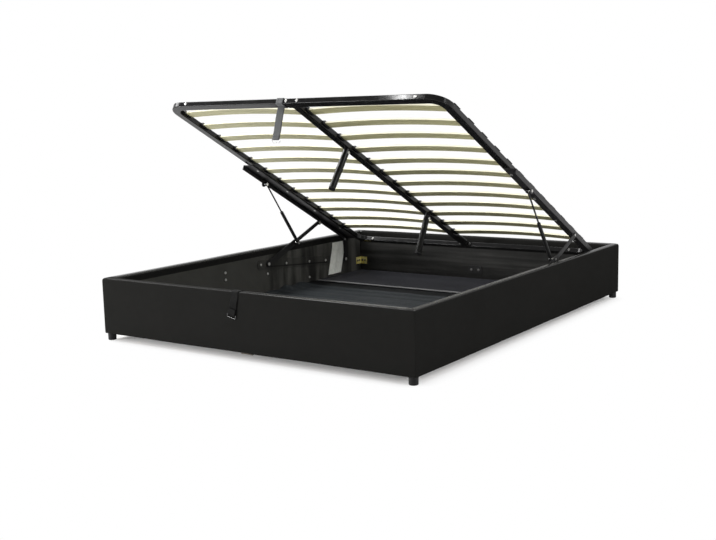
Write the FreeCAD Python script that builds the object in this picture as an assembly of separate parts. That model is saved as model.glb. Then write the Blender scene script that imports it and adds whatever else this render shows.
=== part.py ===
import FreeCAD, Part
import math
import os

os.makedirs("parts", exist_ok=True)

# Storage bed: an upholstered box with a slatted frame that lifts on two
# linkages with gas struts. Millimetres, X to the right seen from the foot end,
# Y from foot to head, Z up, origin on the floor under the middle of the box.
# The frame is modelled raised, as it stands when the bed is open.

# Box
bed_width = 1680.0
bed_length = 2080.0
panel_height = 258.0
panel_thickness = 40.0
padding = 6.0
cover_radius = 12.0

# Feet
foot_height = 32.0
foot_diameter = 38.0
foot_edge_radius = 4.0
foot_inset_x = 24.0
foot_inset_y = 22.0
foot_stem_radius = 4.0
foot_stem_length = 30.0

# Storage floor
floor_thickness = 6.0
floor_board_count = 5
floor_joint = 1.0
batten_width = 32.0
batten_ledge = 20.0
batten_end_gap = 10.0
batten_height = 10.0
centre_rail_width = 60.0

# Bolts and corner brackets
bolt_radius = 3.0
bolt_head_radius = 7.0
bolt_head_height = 3.0
panel_bolt_length = 30.0
bracket_leg = 48.0
bracket_height = 42.0
bracket_thickness = 3.0
bracket_above_floor = 69.0
bracket_bolt_shares = (0.36, 0.76)
side_bolt_lead = 283.0
side_bolt_drops = (125.0, 88.0)
low_bolt_leads = (0.0, 375.0)
low_bolt_drops = (55.0, 128.0)
head_plate_width = 86.0
head_plate_height = 44.0
head_plate_thickness = 3.0
head_plate_above_floor = 60.0
head_plate_bolt_shares = (-0.27, 0.27)

# Lift frame
frame_end_gaps = 220.0
frame_side_gap = 45.0
rail_width = 40.0
rail_height = 25.0
rail_wall = 2.0
rail_edge_radius = 3.0
rail_bend = 67.0
beam_width = 40.0
beam_plate_width = 76.0
beam_plate_thickness = 3.0
beam_bolt_spacing = 59.0
corner_bolt_inset = 43.0
open_tilt = 27.6
closed_rail_drop = 16.0

# Slats and their caps
slat_rows = 12
foot_slat_lead = 28.0
head_slat_lead = 130.0
slat_width = 48.0
slat_thickness = 8.0
slat_bow = 12.0
slat_level = 6.0
slat_end_gap = 2.0
cap_wall = 2.2
cap_gap = 1.2
cap_reach = 9.0
cap_saddle = 2.6
cap_overhang = 1.5
cap_radius = 1.2

# Legs under the centre beam
leg_diameter = 32.0
leg_wall = 2.0
leg_pad_height = 8.0
leg_floor_gap = 4.0
leg_collar_diameter = 35.0
leg_collar_height = 14.0
leg_collar_share = 0.52
leg_bolt_drop = 18.0
leg_place_shares = (0.738, 0.28)
leg_leans = (9.0, 0.0)

# Linkage, seen from the side: distances along the frame count from its head end
front_pivot_from_head = 900.0
front_pivot_drop = 87.0
front_link_span = 500.0
front_link_open_angle = 21.4
front_link_lower_width = 34.0
front_link_upper_width = 22.0
rear_link_length = 116.0
rear_link_width = 26.0
arm_pivot_drop = 38.0
arm_front_pivot = 378.0
arm_rear_pivot = 90.0
arm_strut_pivot = 930.0
arm_reach = (66.0, 1120.0)
arm_web = 25.0
arm_flange_inset = 12.0
arm_thickness = 4.0
arm_ear_radius = 15.0
arm_bolt_shares = (0.16, 0.42, 0.68, 0.94)
arm_bolt_length = 14.0
rear_slot_drift = 14.0
rear_slot_rise = 3.0
rear_slot_play = 1.5
base_plate_thickness = 4.0
base_plate_width = 52.0
base_plate_lead = 60.0
base_plate_lift = 2.0
base_bolt_shares = (0.0, 0.28, 0.55, 0.75)
link_thickness = 4.0
link_clearance = 4.0
arm_clearance = 2.0
pivot_radius = 6.0
pivot_head_radius = 9.0
pivot_head_height = 1.5
running_gap = 0.2

# Gas struts
strut_link_share = 0.5
strut_inset = 17.0
strut_radius = 9.0
strut_bore_radius = 7.2
strut_body_length = 231.0
strut_gland_length = 12.0
strut_bore_start = 30.0
rod_radius = 4.0
piston_length = 12.0
piston_stop = 6.0
strut_eye_radius = 11.0
strut_eye_width = 12.0
strut_neck_radius = 5.0
strut_neck_length = 14.0
stud_gap = 0.6

# Straps and leaflet
strap_width = 38.0
strap_layer = 2.4
lift_strap_x = -64.0
lift_strap_tail = 147.0
lift_strap_hang = 19.0
panel_strap_x = -34.0
panel_strap_lean = 13.0
panel_strap_inner = 120.0
panel_strap_turn = 20.0
panel_strap_front = 76.0
ring_wire_radius = 1.8
ring_bend = 4.0
ring_drop = 15.0
ring_side_play = 3.0
strap_eye_radius = 4.6
leaflet_width = 135.0
leaflet_length = 186.0
leaflet_from_head = 225.0
leaflet_lean = 55.0
leaflet_bottom_z = 62.0
leaflet_thickness = 1.2
leaflet_fold = 5.0
leaflet_fold_shares = ((0.0, 0.7), (0.16, 0.1), (0.38, 1.0), (0.6, 0.15), (0.78, 0.35), (1.0, 0.0))

# Fits
fit = 0.05
slip = 0.3
hole_play = 0.2
overrun = 1.0

# Worked-out places
half_width = bed_width / 2
half_length = bed_length / 2
inner_x = half_width - panel_thickness
inner_y = half_length - panel_thickness
panel_top = foot_height + panel_height
floor_top = foot_height + floor_thickness
batten_bottom = foot_height - batten_height
frame_width = 2 * (inner_x - frame_side_gap)
frame_length = 2 * inner_y - frame_end_gaps
rail_x = frame_width / 2 - rail_width / 2
rail_half = rail_height / 2
bracket_z = floor_top + bracket_above_floor
base_face_x = inner_x - base_plate_thickness
link_outer_x = base_face_x - link_clearance
link_inner_x = link_outer_x - link_thickness
web_outer_x = link_inner_x - arm_clearance
web_inner_x = web_outer_x - arm_thickness
strut_x = web_inner_x - strut_inset
rail_corner = rail_width / 2 + rail_bend
cap_face = rail_x - rail_width / 2 - cap_gap
beam_cap_face = beam_width / 2 + cap_gap
slat_inner_end = beam_cap_face + slat_end_gap
slat_outer_end = cap_face - slat_end_gap
first_slat_from_head = frame_length - rail_corner - foot_slat_lead
slat_pitch = (first_slat_from_head - rail_corner - head_slat_lead) / (slat_rows - 1)
cap_length = slat_width + 2 * (cap_wall + slip)
cap_top = rail_half + cap_saddle
closed_rail_height = panel_top - closed_rail_drop
leg_length = closed_rail_height - rail_half - floor_top - leg_floor_gap
leg_from_head = [share * frame_length for share in leg_place_shares]
left, right = -1, 1
both_sides = (left, right)

Vector = FreeCAD.Vector
along_x = Vector(1, 0, 0)
along_y = Vector(0, 1, 0)
along_z = Vector(0, 0, 1)
middle = Vector(0, 0, 0)


def polar(start, distance, angle):
    """A point in the side view, as (y, z), at a distance and an angle in degrees."""
    turn = math.radians(angle)
    return (start[0] + distance * math.cos(turn), start[1] + distance * math.sin(turn))


def on_frame(head, tilt, from_head, height):
    """A point of the frame in the side view, for a place of its head end and a tilt."""
    foot_ward = polar(head, from_head, 180 - tilt)
    return polar(foot_ward, height, 90 - tilt)


# Linkage points in the side view, raised and closed
pivot_a = (inner_y - front_pivot_from_head, panel_top - front_pivot_drop)
plate_front = (pivot_a[0] - base_plate_lead, pivot_a[1] + base_plate_lift)
pivot_c = polar(pivot_a, front_link_span, front_link_open_angle)
pivot_m = tuple(a + strut_link_share * (c - a) for a, c in zip(pivot_a, pivot_c))
head_offset = on_frame((0, 0), open_tilt, arm_front_pivot, -arm_pivot_drop)
head_open = (pivot_c[0] - head_offset[0], pivot_c[1] - head_offset[1])
link_rise = closed_rail_height - arm_pivot_drop - pivot_a[1]
link_run = math.sqrt(front_link_span ** 2 - link_rise ** 2)
closed_c = (pivot_a[0] + link_run, pivot_a[1] + link_rise)
head_closed = (closed_c[0] + arm_front_pivot, closed_rail_height)
pivot_s = on_frame(head_open, open_tilt, arm_strut_pivot, -arm_pivot_drop)
pivot_d = on_frame(head_open, open_tilt, arm_rear_pivot, -arm_pivot_drop)
closed_d = on_frame(head_closed, 0, arm_rear_pivot, -arm_pivot_drop)
rear_span = math.dist(pivot_d, closed_d)
rear_depth = math.sqrt(rear_link_length ** 2 - (rear_span / 2) ** 2)
rear_middle = ((pivot_d[0] + closed_d[0]) / 2, (pivot_d[1] + closed_d[1]) / 2)
rear_heading = math.degrees(math.atan2(closed_d[1] - pivot_d[1], closed_d[0] - pivot_d[0]))
pivot_b = polar(rear_middle, rear_depth, rear_heading - 90)
strut_length = math.dist(pivot_m, pivot_s)
strut_heading = math.degrees(math.atan2(pivot_s[1] - pivot_m[1], pivot_s[0] - pivot_m[0]))


def box(low, high):
    """A block between two opposite corners."""
    size = Vector(*high) - Vector(*low)
    return Part.makeBox(size.x, size.y, size.z, Vector(*low))


def across(radius, x_from, x_to, place):
    """A round bar along X through a point of the side view."""
    start = Vector(min(x_from, x_to), place[0], place[1])
    return Part.makeCylinder(radius, abs(x_to - x_from), start, along_x)


def joined(shapes):
    """One clean solid from overlapping or touching solids."""
    return shapes[0].fuse(shapes[1:]).removeSplitter()


def mirrored(shape):
    """The left-hand copy of a right-hand piece."""
    return shape.mirror(middle, along_x)


def raised(shape):
    """A piece modelled on the level frame, head end at the origin, moved to the open pose."""
    moved = shape.copy()
    moved.rotate(middle, along_x, -open_tilt)
    moved.translate(Vector(0, head_open[0], head_open[1]))
    return moved


def save(name, *solids):
    """Write one node, which may be a group of separate solids."""
    shape = solids[0] if len(solids) == 1 else Part.makeCompound(list(solids))
    shape.exportStep("parts/" + name + ".step")


def bolt(at, direction, length):
    """A bolt whose head sits at a point and whose shank runs along a direction."""
    shank = Part.makeCylinder(bolt_radius, length, at, direction)
    head = Part.makeCylinder(bolt_head_radius, bolt_head_height, at, direction * -1)
    round_edge = [e for e in head.Edges if e.Curve.TypeId == "Part::GeomCircle"]
    far_edge = max(round_edge, key=lambda e: -(e.CenterOfMass - at).dot(direction))
    head = head.makeFillet(bolt_head_height / 2, [far_edge])
    return joined([shank, head])


def bolt_hole(at, direction, length):
    """The clearance hole that a bolt passes through."""
    start = at - direction * overrun
    return Part.makeCylinder(bolt_radius + hole_play, length + overrun + slip, start, direction)


# Panels: boards butted at the corners, each under a padded cover that meets its
# neighbours on a mitre and is open underneath
def panel_boards():
    """The boards of the four panels by name; the end boards run the full width."""
    half_x, half_y = half_width - padding, half_length - padding
    core = panel_thickness - 2 * padding
    side_y = inner_y - padding
    top = panel_top - padding
    return {
        "foot": box((-half_x, -half_y, foot_height), (half_x, core - half_y, top)),
        "head": box((-half_x, half_y - core, foot_height), (half_x, half_y, top)),
        "left": box((-half_x, -side_y, foot_height), (core - half_x, side_y, top)),
        "right": box((half_x - core, -side_y, foot_height), (half_x, side_y, top)),
    }


def cover_block(name):
    """The outer form of one panel: mitred ends and rounded upper edges."""
    outer = {"foot": ((-half_width, -half_length), (half_width, -half_length)),
             "head": ((half_width, half_length), (-half_width, half_length)),
             "left": ((-half_width, half_length), (-half_width, -half_length)),
             "right": ((half_width, -half_length), (half_width, half_length))}[name]
    shrink_x, shrink_y = inner_x / half_width, inner_y / half_length
    inner = [(x * shrink_x, y * shrink_y) for x, y in reversed(outer)]
    corners = [Vector(x, y, foot_height) for x, y in [*outer, *inner, outer[0]]]
    block = Part.Face(Part.makePolygon(corners)).extrude(along_z * panel_height)
    upper = [e for e in block.Edges if min(v.Z for v in e.Vertexes) > panel_top - padding]
    long_edges = [e for e in upper if e.Length > panel_thickness * 2]
    return block.makeFillet(cover_radius, long_edges)


def drilled(shape, holes):
    """A piece with a list of holes cut in it."""
    return shape.cut(Part.makeCompound(holes)) if holes else shape


def foot_places():
    """The four corner feet, as points on the floor."""
    places = []
    for side in both_sides:
        for end in both_sides:
            places.append(Vector(side * (half_width - foot_inset_x), end * (half_length - foot_inset_y), 0))
    return places


def foot(place):
    """A round foot with the stem that screws into the panel's board."""
    body = Part.makeCylinder(foot_diameter / 2, foot_height, place)
    lowest = min(body.Edges, key=lambda e: e.BoundBox.ZMax)
    body = body.makeFillet(foot_edge_radius, [lowest])
    stem = Part.makeCylinder(foot_stem_radius, foot_height + foot_stem_length, place)
    stem = stem.cut(Part.makeCylinder(foot_stem_radius * 2, foot_height / 2, place))
    return joined([body, stem])


def foot_hole(place):
    """The hole in a board for one foot's stem."""
    start = place + along_z * foot_height
    return Part.makeCylinder(foot_stem_radius + hole_play, foot_stem_length + slip, start)


def corner_bracket_bolts(side, end):
    """Where the bolts of one corner bracket sit, as (point, direction)."""
    places = []
    for share in bracket_bolt_shares:
        step = bracket_leg * share
        places.append((Vector(side * (inner_x - step), end * (inner_y - bracket_thickness), bracket_z),
                       along_y * end))
        places.append((Vector(side * (inner_x - bracket_thickness), end * (inner_y - step), bracket_z),
                       along_x * side))
    return places


def corner_bracket(side, end):
    """An angle bracket that ties two panels together inside a corner."""
    low = bracket_z - bracket_height / 2
    legs = []
    for leg_x, leg_y in ((bracket_leg, bracket_thickness), (bracket_thickness, bracket_leg)):
        start_x = min(side * inner_x, side * (inner_x - leg_x))
        start_y = min(end * inner_y, end * (inner_y - leg_y))
        legs.append(Part.makeBox(leg_x, leg_y, bracket_height, Vector(start_x, start_y, low)))
    holes = [bolt_hole(at, way, panel_bolt_length) for at, way in corner_bracket_bolts(side, end)]
    return drilled(joined(legs), holes)


def base_bolt_places(side):
    """Where the base plate's bolts sit, as (point, direction)."""
    places = []
    for share in base_bolt_shares:
        y = plate_front[0] + share * (pivot_b[0] - plate_front[0])
        z = plate_front[1] + share * (pivot_b[1] - plate_front[1])
        places.append((Vector(side * base_face_x, y, z), along_x * side))
    return places


def side_bolt_places(side):
    """Bolts in a side panel in front of its base plate and below it, as (point, direction)."""
    spots = [(plate_front[0] - side_bolt_lead, panel_top - drop) for drop in side_bolt_drops]
    for lead, drop in zip(low_bolt_leads, low_bolt_drops):
        spots.append((pivot_a[0] + lead, pivot_a[1] - drop))
    return [(Vector(side * inner_x, y, z), along_x * side) for y, z in spots]


def head_plate_bolts():
    """Where the bolts of the plate on the head panel sit, as (point, direction)."""
    y = inner_y - head_plate_thickness
    z = floor_top + head_plate_above_floor
    return [(Vector(share * head_plate_width, y, z), along_y) for share in head_plate_bolt_shares]


def head_plate():
    """The steel plate that stiffens the middle of the head panel."""
    half = head_plate_width / 2
    low = floor_top + head_plate_above_floor - head_plate_height / 2
    plate = box((-half, inner_y - head_plate_thickness, low), (half, inner_y, low + head_plate_height))
    return drilled(plate, [bolt_hole(at, way, panel_bolt_length) for at, way in head_plate_bolts()])


def build_box():
    """Panels, feet, brackets and their bolts."""
    bracket_places = []
    for side in both_sides:
        for end in both_sides:
            bracket_places += corner_bracket_bolts(side, end)
    panel_places = head_plate_bolts()
    base_places = []
    for side in both_sides:
        panel_places += side_bolt_places(side)
        base_places += base_bolt_places(side)
    holes = [bolt_hole(at, way, panel_bolt_length) for at, way in bracket_places + panel_places + base_places]
    holes += [foot_hole(place) for place in foot_places()]
    boards = panel_boards()
    for name, board in boards.items():
        cover = cover_block(name).cut(list(boards.values()))
        save(name + "_panel_board", drilled(board, holes))
        save(name + "_panel_cover", drilled(cover, holes))
    save("corner_feet", *[foot(place) for place in foot_places()])
    save("corner_brackets", *[corner_bracket(side, end) for side in both_sides for end in both_sides])
    save("corner_bolts", *[bolt(at, way, panel_bolt_length) for at, way in bracket_places])
    save("panel_bolts", *[bolt(at, way, panel_bolt_length) for at, way in panel_places])
    save("head_panel_plate", head_plate())
    save("base_plate_bolts", *[bolt(at, way, panel_bolt_length) for at, way in base_places])


def build_floor():
    """Floor boards across the box, on ledges under the side panels and a centre rail with feet."""
    board_pitch = 2 * inner_y / floor_board_count
    for number in range(floor_board_count):
        front = -inner_y + number * board_pitch
        low = (-inner_x + floor_joint, front + floor_joint / 2, foot_height)
        high = (inner_x - floor_joint, front + board_pitch - floor_joint / 2, floor_top)
        save("floor_board_%d" % (number + 1), box(low, high))
    ledge_x = inner_x - batten_ledge
    batten_end = inner_y - batten_end_gap
    batten = box((ledge_x, -batten_end, batten_bottom), (ledge_x + batten_width, batten_end, foot_height))
    save("right_floor_batten", batten)
    save("left_floor_batten", mirrored(batten))
    half_rail = centre_rail_width / 2
    rail_end = inner_y + batten_ledge
    save("centre_floor_rail", box((-half_rail, -rail_end, batten_bottom), (half_rail, rail_end, foot_height)))
    feet = []
    for from_head in leg_from_head:
        place = Vector(0, head_closed[0] - from_head, 0)
        feet.append(Part.makeCylinder(foot_diameter / 2, batten_bottom, place))
    save("centre_feet", *feet)


# Linkage: flat bars in planes beside each other, made for the right side
def bar(start, end, half, x_from, x_to):
    """A flat bar with round ends between two points of the side view."""
    heading = math.degrees(math.atan2(end[1] - start[1], end[0] - start[0]))
    corners = [polar(start, half, heading + 90), polar(end, half, heading + 90),
               polar(end, half, heading - 90), polar(start, half, heading - 90)]
    outline = Part.makePolygon([Vector(x_from, y, z) for y, z in corners + corners[:1]])
    straight = Part.Face(outline).extrude(along_x * (x_to - x_from))
    return joined([straight, across(half, x_from, x_to, start), across(half, x_from, x_to, end)])


def pivot_hole(x_from, x_to, place):
    """The running hole of a pivot through a plate."""
    return across(pivot_radius + fit, x_from - overrun, x_to + overrun, place)


def base_plate():
    """The plate on the side panel that carries both links."""
    plate = bar(plate_front, pivot_b, base_plate_width / 2, base_face_x, inner_x)
    holes = [pivot_hole(base_face_x, inner_x, place) for place in (pivot_a, pivot_b)]
    holes += [bolt_hole(at, way, panel_bolt_length) for at, way in base_bolt_places(right)]
    return drilled(plate, holes)


def base_rivet(place):
    """A pivot rivet of the base plate, flat headed on the inner side of the link."""
    head_x = link_inner_x - running_gap
    shank = across(pivot_radius, head_x, inner_x, place)
    return joined([shank, across(pivot_head_radius, head_x - pivot_head_height, head_x, place)])


def front_link():
    """The long link between the base plate and the lift arm."""
    lower = bar(pivot_a, pivot_m, front_link_lower_width / 2, link_inner_x, link_outer_x)
    upper = bar(pivot_m, pivot_c, front_link_upper_width / 2, link_inner_x, link_outer_x)
    link = joined([lower, upper])
    return drilled(link, [pivot_hole(link_inner_x, link_outer_x, p) for p in (pivot_a, pivot_m, pivot_c)])


def rear_link():
    """The short link at the head end."""
    link = bar(pivot_b, pivot_d, rear_link_width / 2, link_inner_x, link_outer_x)
    return drilled(link, [pivot_hole(link_inner_x, link_outer_x, p) for p in (pivot_b, pivot_d)])


def headed_pin(place, x_inner):
    """A pin fixed in a link that reaches inward and ends in a flat head."""
    shank = across(pivot_radius, x_inner, link_outer_x, place)
    return joined([shank, across(pivot_head_radius, x_inner - pivot_head_height, x_inner, place)])


def lift_arm():
    """The angle bar under a side rail: a flange, a web and an ear at each pivot."""
    rear, front = -arm_reach[0], -arm_reach[1]
    under = -rail_half
    inner_edge = rail_x - arm_flange_inset
    flange = box((inner_edge, front, under - arm_thickness), (web_outer_x, rear, under))
    web = box((web_inner_x, front, under - arm_web), (web_outer_x, rear, under))
    slot = ((-arm_rear_pivot, -arm_pivot_drop),
            (-arm_rear_pivot - rear_slot_drift, rear_slot_rise - arm_pivot_drop))
    ears = [bar(*slot, arm_ear_radius, web_inner_x, web_outer_x)]
    for from_head in (arm_front_pivot, arm_strut_pivot):
        ears.append(across(arm_ear_radius, web_inner_x, web_outer_x, (-from_head, -arm_pivot_drop)))
    holes = [pivot_hole(web_inner_x, web_outer_x, (-arm_front_pivot, -arm_pivot_drop))]
    holes.append(bar(*slot, pivot_radius + rear_slot_play, web_inner_x - overrun, web_outer_x + overrun))
    holes += [bolt_hole(at, way, arm_bolt_length) for at, way in arm_bolt_places(right)]
    holes.append(bolt_hole(*strut_bolt_place(right), arm_thickness))
    return drilled(joined([flange, web] + ears), holes)


def arm_bolt_places(side):
    """Bolts that hold a lift arm under its rail, as (point, direction)."""
    span = arm_reach[1] - arm_reach[0]
    height = -rail_half - arm_thickness
    steps = [-arm_reach[0] - share * span for share in arm_bolt_shares]
    return [(Vector(side * rail_x, y, height), along_z) for y in steps]


def strut_bolt_place(side):
    """The bolt through the arm's ear at the strut's upper end."""
    return Vector(side * web_outer_x, -arm_strut_pivot, -arm_pivot_drop), along_x * -side


def strut_axis():
    """The direction from the strut's lower pivot to its upper one."""
    turn = math.radians(strut_heading)
    return Vector(0, math.cos(turn), math.sin(turn))


def strut_cylinder():
    """The pressure tube with its lower eye, bore and gland."""
    way = strut_axis()
    base = Vector(strut_x, *pivot_m)
    bore_end = strut_body_length - strut_gland_length
    half_eye = strut_eye_width / 2
    eye = across(strut_eye_radius, strut_x - half_eye, strut_x + half_eye, pivot_m)
    neck = Part.makeCylinder(strut_neck_radius, strut_bore_start, base, way)
    tube_length = strut_body_length - strut_neck_length
    tube = Part.makeCylinder(strut_radius, tube_length, base + way * strut_neck_length, way)
    bore_foot = base + way * strut_bore_start
    holes = [Part.makeCylinder(strut_bore_radius, bore_end - strut_bore_start, bore_foot, way),
             Part.makeCylinder(rod_radius + fit, strut_gland_length + overrun, base + way * bore_end, way),
             pivot_hole(strut_x - strut_radius, strut_x + strut_radius, pivot_m)]
    return drilled(joined([eye, neck, tube]), holes)


def strut_rod():
    """The rod with its piston, and an end fitting whose stud points at the lift arm."""
    way = strut_axis()
    base = Vector(strut_x, *pivot_m)
    piston_top = strut_body_length - strut_gland_length - piston_stop
    piston_start = base + way * (piston_top - piston_length)
    piston = Part.makeCylinder(strut_bore_radius - fit, piston_length, piston_start, way)
    rod = Part.makeCylinder(rod_radius, strut_length - piston_top + piston_length, piston_start, way)
    half_eye = strut_eye_width / 2
    fitting = across(strut_eye_radius, strut_x - half_eye, strut_x + half_eye, pivot_s)
    stud = across(pivot_radius, strut_x, web_inner_x - stud_gap, pivot_s)
    return joined([piston, rod, fitting, stud])


def build_linkage():
    """Both lift mechanisms, right-hand pieces mirrored to the left."""
    strut_pin_x = strut_x - strut_eye_width / 2 - running_gap
    arm_pin_x = web_inner_x - running_gap
    pieces = {
        "base_plate": [base_plate()],
        "front_link": [front_link()],
        "link_pins": [headed_pin(pivot_c, arm_pin_x), headed_pin(pivot_m, strut_pin_x)],
        "rear_link": [rear_link()],
        "rear_link_pin": [headed_pin(pivot_d, arm_pin_x)],
        "strut_cylinder": [strut_cylinder()],
        "strut_rod": [strut_rod()],
        "lift_arm": [raised(lift_arm())],
    }
    for name, solids in pieces.items():
        save("right_" + name, *solids)
        save("left_" + name, *[mirrored(solid) for solid in solids])
    rivets = [base_rivet(place) for place in (pivot_a, pivot_b)]
    save("base_pivot_rivets", *rivets, *[mirrored(rivet) for rivet in rivets])


# Lift frame, modelled level with its head end at the origin and raised when saved
def rail_face(width, place):
    """A tube's outer section with rounded corners; place turns (across, up) into a point."""
    reach, rise = width / 2 - rail_edge_radius, rail_half - rail_edge_radius
    arcs = []
    for quarter in range(4):
        centre = (reach if quarter in (0, 3) else -reach, rise if quarter in (0, 1) else -rise)
        points = [polar(centre, rail_edge_radius, 90 * quarter + step) for step in (0, 45, 90)]
        arcs.append([place(*point) for point in points])
    edges = []
    for arc, following in zip(arcs, arcs[1:] + arcs[:1]):
        edges.append(Part.Arc(*arc).toShape())
        edges.append(Part.makeLine(arc[2], following[0]))
    return Part.Face(Part.Wire(edges))


def bore_face(width, place):
    """A tube's inner section, with square corners."""
    reach, rise = width / 2 - rail_wall, rail_half - rail_wall
    corners = [place(u, v) for u, v in ((-reach, -rise), (reach, -rise), (reach, rise), (-reach, rise))]
    return Part.Face(Part.makePolygon(corners + corners[:1]))


def bent_rail(face):
    """A straight end rail with a bend at each end, from one of the two sections."""
    reach = rail_x - rail_bend
    depth = rail_width / 2
    middle_run = face(rail_width, lambda u, v: Vector(-reach, depth + u, v)).extrude(along_x * (2 * reach))
    pieces = [middle_run]
    for side in both_sides:
        end = face(rail_width, lambda u, v: Vector(side * rail_x + u, rail_corner, v))
        pieces.append(end.revolve(Vector(side * reach, rail_corner, 0), along_z, -90 * side))
    return joined(pieces)


def end_rail():
    """A hollow end rail at the foot end of a frame that starts at the origin."""
    return bent_rail(rail_face).cut(bent_rail(bore_face))


def tube_along_y(x, width, y_from, y_to):
    """A straight tube along the frame."""
    run = along_y * (y_to - y_from)
    outer = rail_face(width, lambda u, v: Vector(x + u, y_from, v)).extrude(run)
    return outer.cut(bore_face(width, lambda u, v: Vector(x + u, y_from, v)).extrude(run))


def end_rail_bolts():
    """Bolts through the end rails at the beam's plates and near the corners, as (point, length).

    All run toward the head end, so their heads face the foot end.
    """
    plate_reach = rail_width + beam_plate_thickness
    corner_x = rail_x - rail_bend - corner_bolt_inset
    places = []
    for side in both_sides:
        beam_x = side * beam_bolt_spacing / 2
        places.append((Vector(beam_x, -frame_length, 0), plate_reach))
        places.append((Vector(beam_x, -plate_reach, 0), plate_reach))
        places.append((Vector(side * corner_x, -frame_length, 0), rail_width))
        places.append((Vector(side * corner_x, -rail_width, 0), rail_width))
    return places


def build_frame():
    """Rails, beam, legs and bolts of the lift frame."""
    rail_places = end_rail_bolts()
    rail_holes = [bolt_hole(at, along_y, length) for at, length in rail_places]
    arm_places = [place for side in both_sides for place in arm_bolt_places(side)]
    arm_holes = [bolt_hole(at, way, arm_bolt_length) for at, way in arm_places]
    foot_rail = end_rail()
    head_rail = foot_rail.copy()
    head_rail.rotate(middle, along_z, 180)
    foot_rail.translate(Vector(0, -frame_length, 0))
    save("foot_rail", raised(drilled(foot_rail, rail_holes)))
    save("head_rail", raised(drilled(head_rail, rail_holes)))
    side_rail = tube_along_y(rail_x, rail_width, rail_corner - frame_length, -rail_corner)
    save("right_side_rail", raised(drilled(side_rail, arm_holes)))
    save("left_side_rail", raised(drilled(mirrored(side_rail), arm_holes)))
    plates = []
    half_plate = beam_plate_width / 2
    for low_y in (rail_width - frame_length, -rail_width - beam_plate_thickness):
        high_y = low_y + beam_plate_thickness
        plate = box((-half_plate, low_y, -rail_half), (half_plate, high_y, rail_half))
        plates.append(raised(drilled(plate, rail_holes)))
    save("beam_brackets", *plates)
    beam_start = rail_width + beam_plate_thickness
    save("centre_beam", raised(tube_along_y(0, beam_width, beam_start - frame_length, -beam_start)))
    bolts = [bolt(at, along_y, length) for at, length in rail_places]
    bolts += [bolt(at, way, arm_bolt_length) for at, way in arm_places]
    bolts += [bolt(*strut_bolt_place(side), arm_thickness) for side in both_sides]
    pads = []
    for name, from_head, lean in zip(("front_centre_leg", "rear_centre_leg"), leg_from_head, leg_leans):
        top = Vector(0, -from_head, -rail_half)
        save(name, raised(leg_tube(top, lean)))
        pads.append(raised(leg_pad(top, lean)))
        bolts.append(leg_bolt(top, lean))
    save("leg_pads", *pads)
    save("frame_bolts", *[raised(one) for one in bolts])


def leg_reach(lean):
    """How far a leaning leg may run along its axis before its edge meets the floor."""
    turn = math.radians(lean)
    return (leg_length - leg_diameter / 2 * math.sin(turn)) / math.cos(turn)


def leg_tube(top, lean):
    """A round leg under the beam with a collar, down to its pad, leaning toward the foot end."""
    start = top + along_z * leg_diameter
    length = leg_reach(lean) - leg_pad_height + leg_diameter
    tube = Part.makeCylinder(leg_diameter / 2, length, start, along_z * -1)
    collar_top = top - along_z * (leg_collar_share * leg_length - leg_collar_height / 2)
    collar = Part.makeCylinder(leg_collar_diameter / 2, leg_collar_height, collar_top, along_z * -1)
    tube = joined([tube, collar])
    bore = Part.makeCylinder(leg_diameter / 2 - leg_wall, length, start, along_z * -1)
    tube = tube.cut([bore, bolt_hole(leg_bolt_point(top), along_x * -1, leg_diameter / 2)])
    tube.rotate(top, along_x, -lean)
    above = Vector(leg_diameter, leg_diameter, 2 * leg_diameter)
    return tube.cut(box(top - Vector(leg_diameter, leg_diameter, 0), top + above))


def leg_bolt_point(top):
    """Where the bolt at a leg's upper end has its head, on the leg before it leans."""
    return top + Vector(leg_diameter / 2, 0, -leg_bolt_drop)


def leg_bolt(top, lean):
    """The bolt that holds a leg to its plug under the beam."""
    one = bolt(leg_bolt_point(top), along_x * -1, leg_diameter / 2)
    one.rotate(top, along_x, -lean)
    return one


def leg_pad(top, lean):
    """The plastic pad on a leg's lower end."""
    start = top - along_z * (leg_reach(lean) - leg_pad_height)
    pad = Part.makeCylinder(leg_diameter / 2, leg_pad_height, start, along_z * -1)
    lowest = min(pad.Edges, key=lambda e: e.BoundBox.ZMax)
    pad = pad.makeFillet(leg_pad_height / 4, [lowest])
    pad.rotate(top, along_x, -lean)
    return pad


def slat(from_head, play):
    """A bowed slat of the right column; play makes the pocket that holds it."""
    half_width_y = slat_width / 2 + play
    half_height = slat_thickness / 2 + play
    inner, outer = slat_inner_end - play, slat_outer_end + play
    centre = (inner + outer) / 2
    start = -from_head - half_width_y

    def arc(height):
        return Part.Arc(Vector(inner, start, height), Vector(centre, start, height + slat_bow),
                        Vector(outer, start, height)).toShape()

    low, high = slat_level - half_height, slat_level + half_height
    ends = [Part.makeLine(Vector(x, start, low), Vector(x, start, high)) for x in (inner, outer)]
    outline = Part.Wire(Part.__sortEdges__([arc(low), arc(high)] + ends))
    return Part.Face(outline).extrude(along_y * (2 * half_width_y))


def slat_cap(saddle, blocks, from_head):
    """A slat cap: a saddle over a rail between two X places and a block on its side for each slat."""
    front, rear = -from_head - cap_length / 2, cap_length / 2 - from_head
    bottom = slat_level - slat_thickness / 2 - slip - cap_wall
    pieces = [box((saddle[0], front, rail_half), (saddle[1], rear, cap_top))]
    for x_from, x_to in blocks:
        pieces.append(box((x_from, front, bottom), (x_to, rear, cap_top)))
    cap = joined(pieces)
    upper = [e for e in cap.Edges if min(v.Z for v in e.Vertexes) > cap_top - cap_radius / 2]
    return cap.makeFillet(cap_radius, upper)


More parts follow.
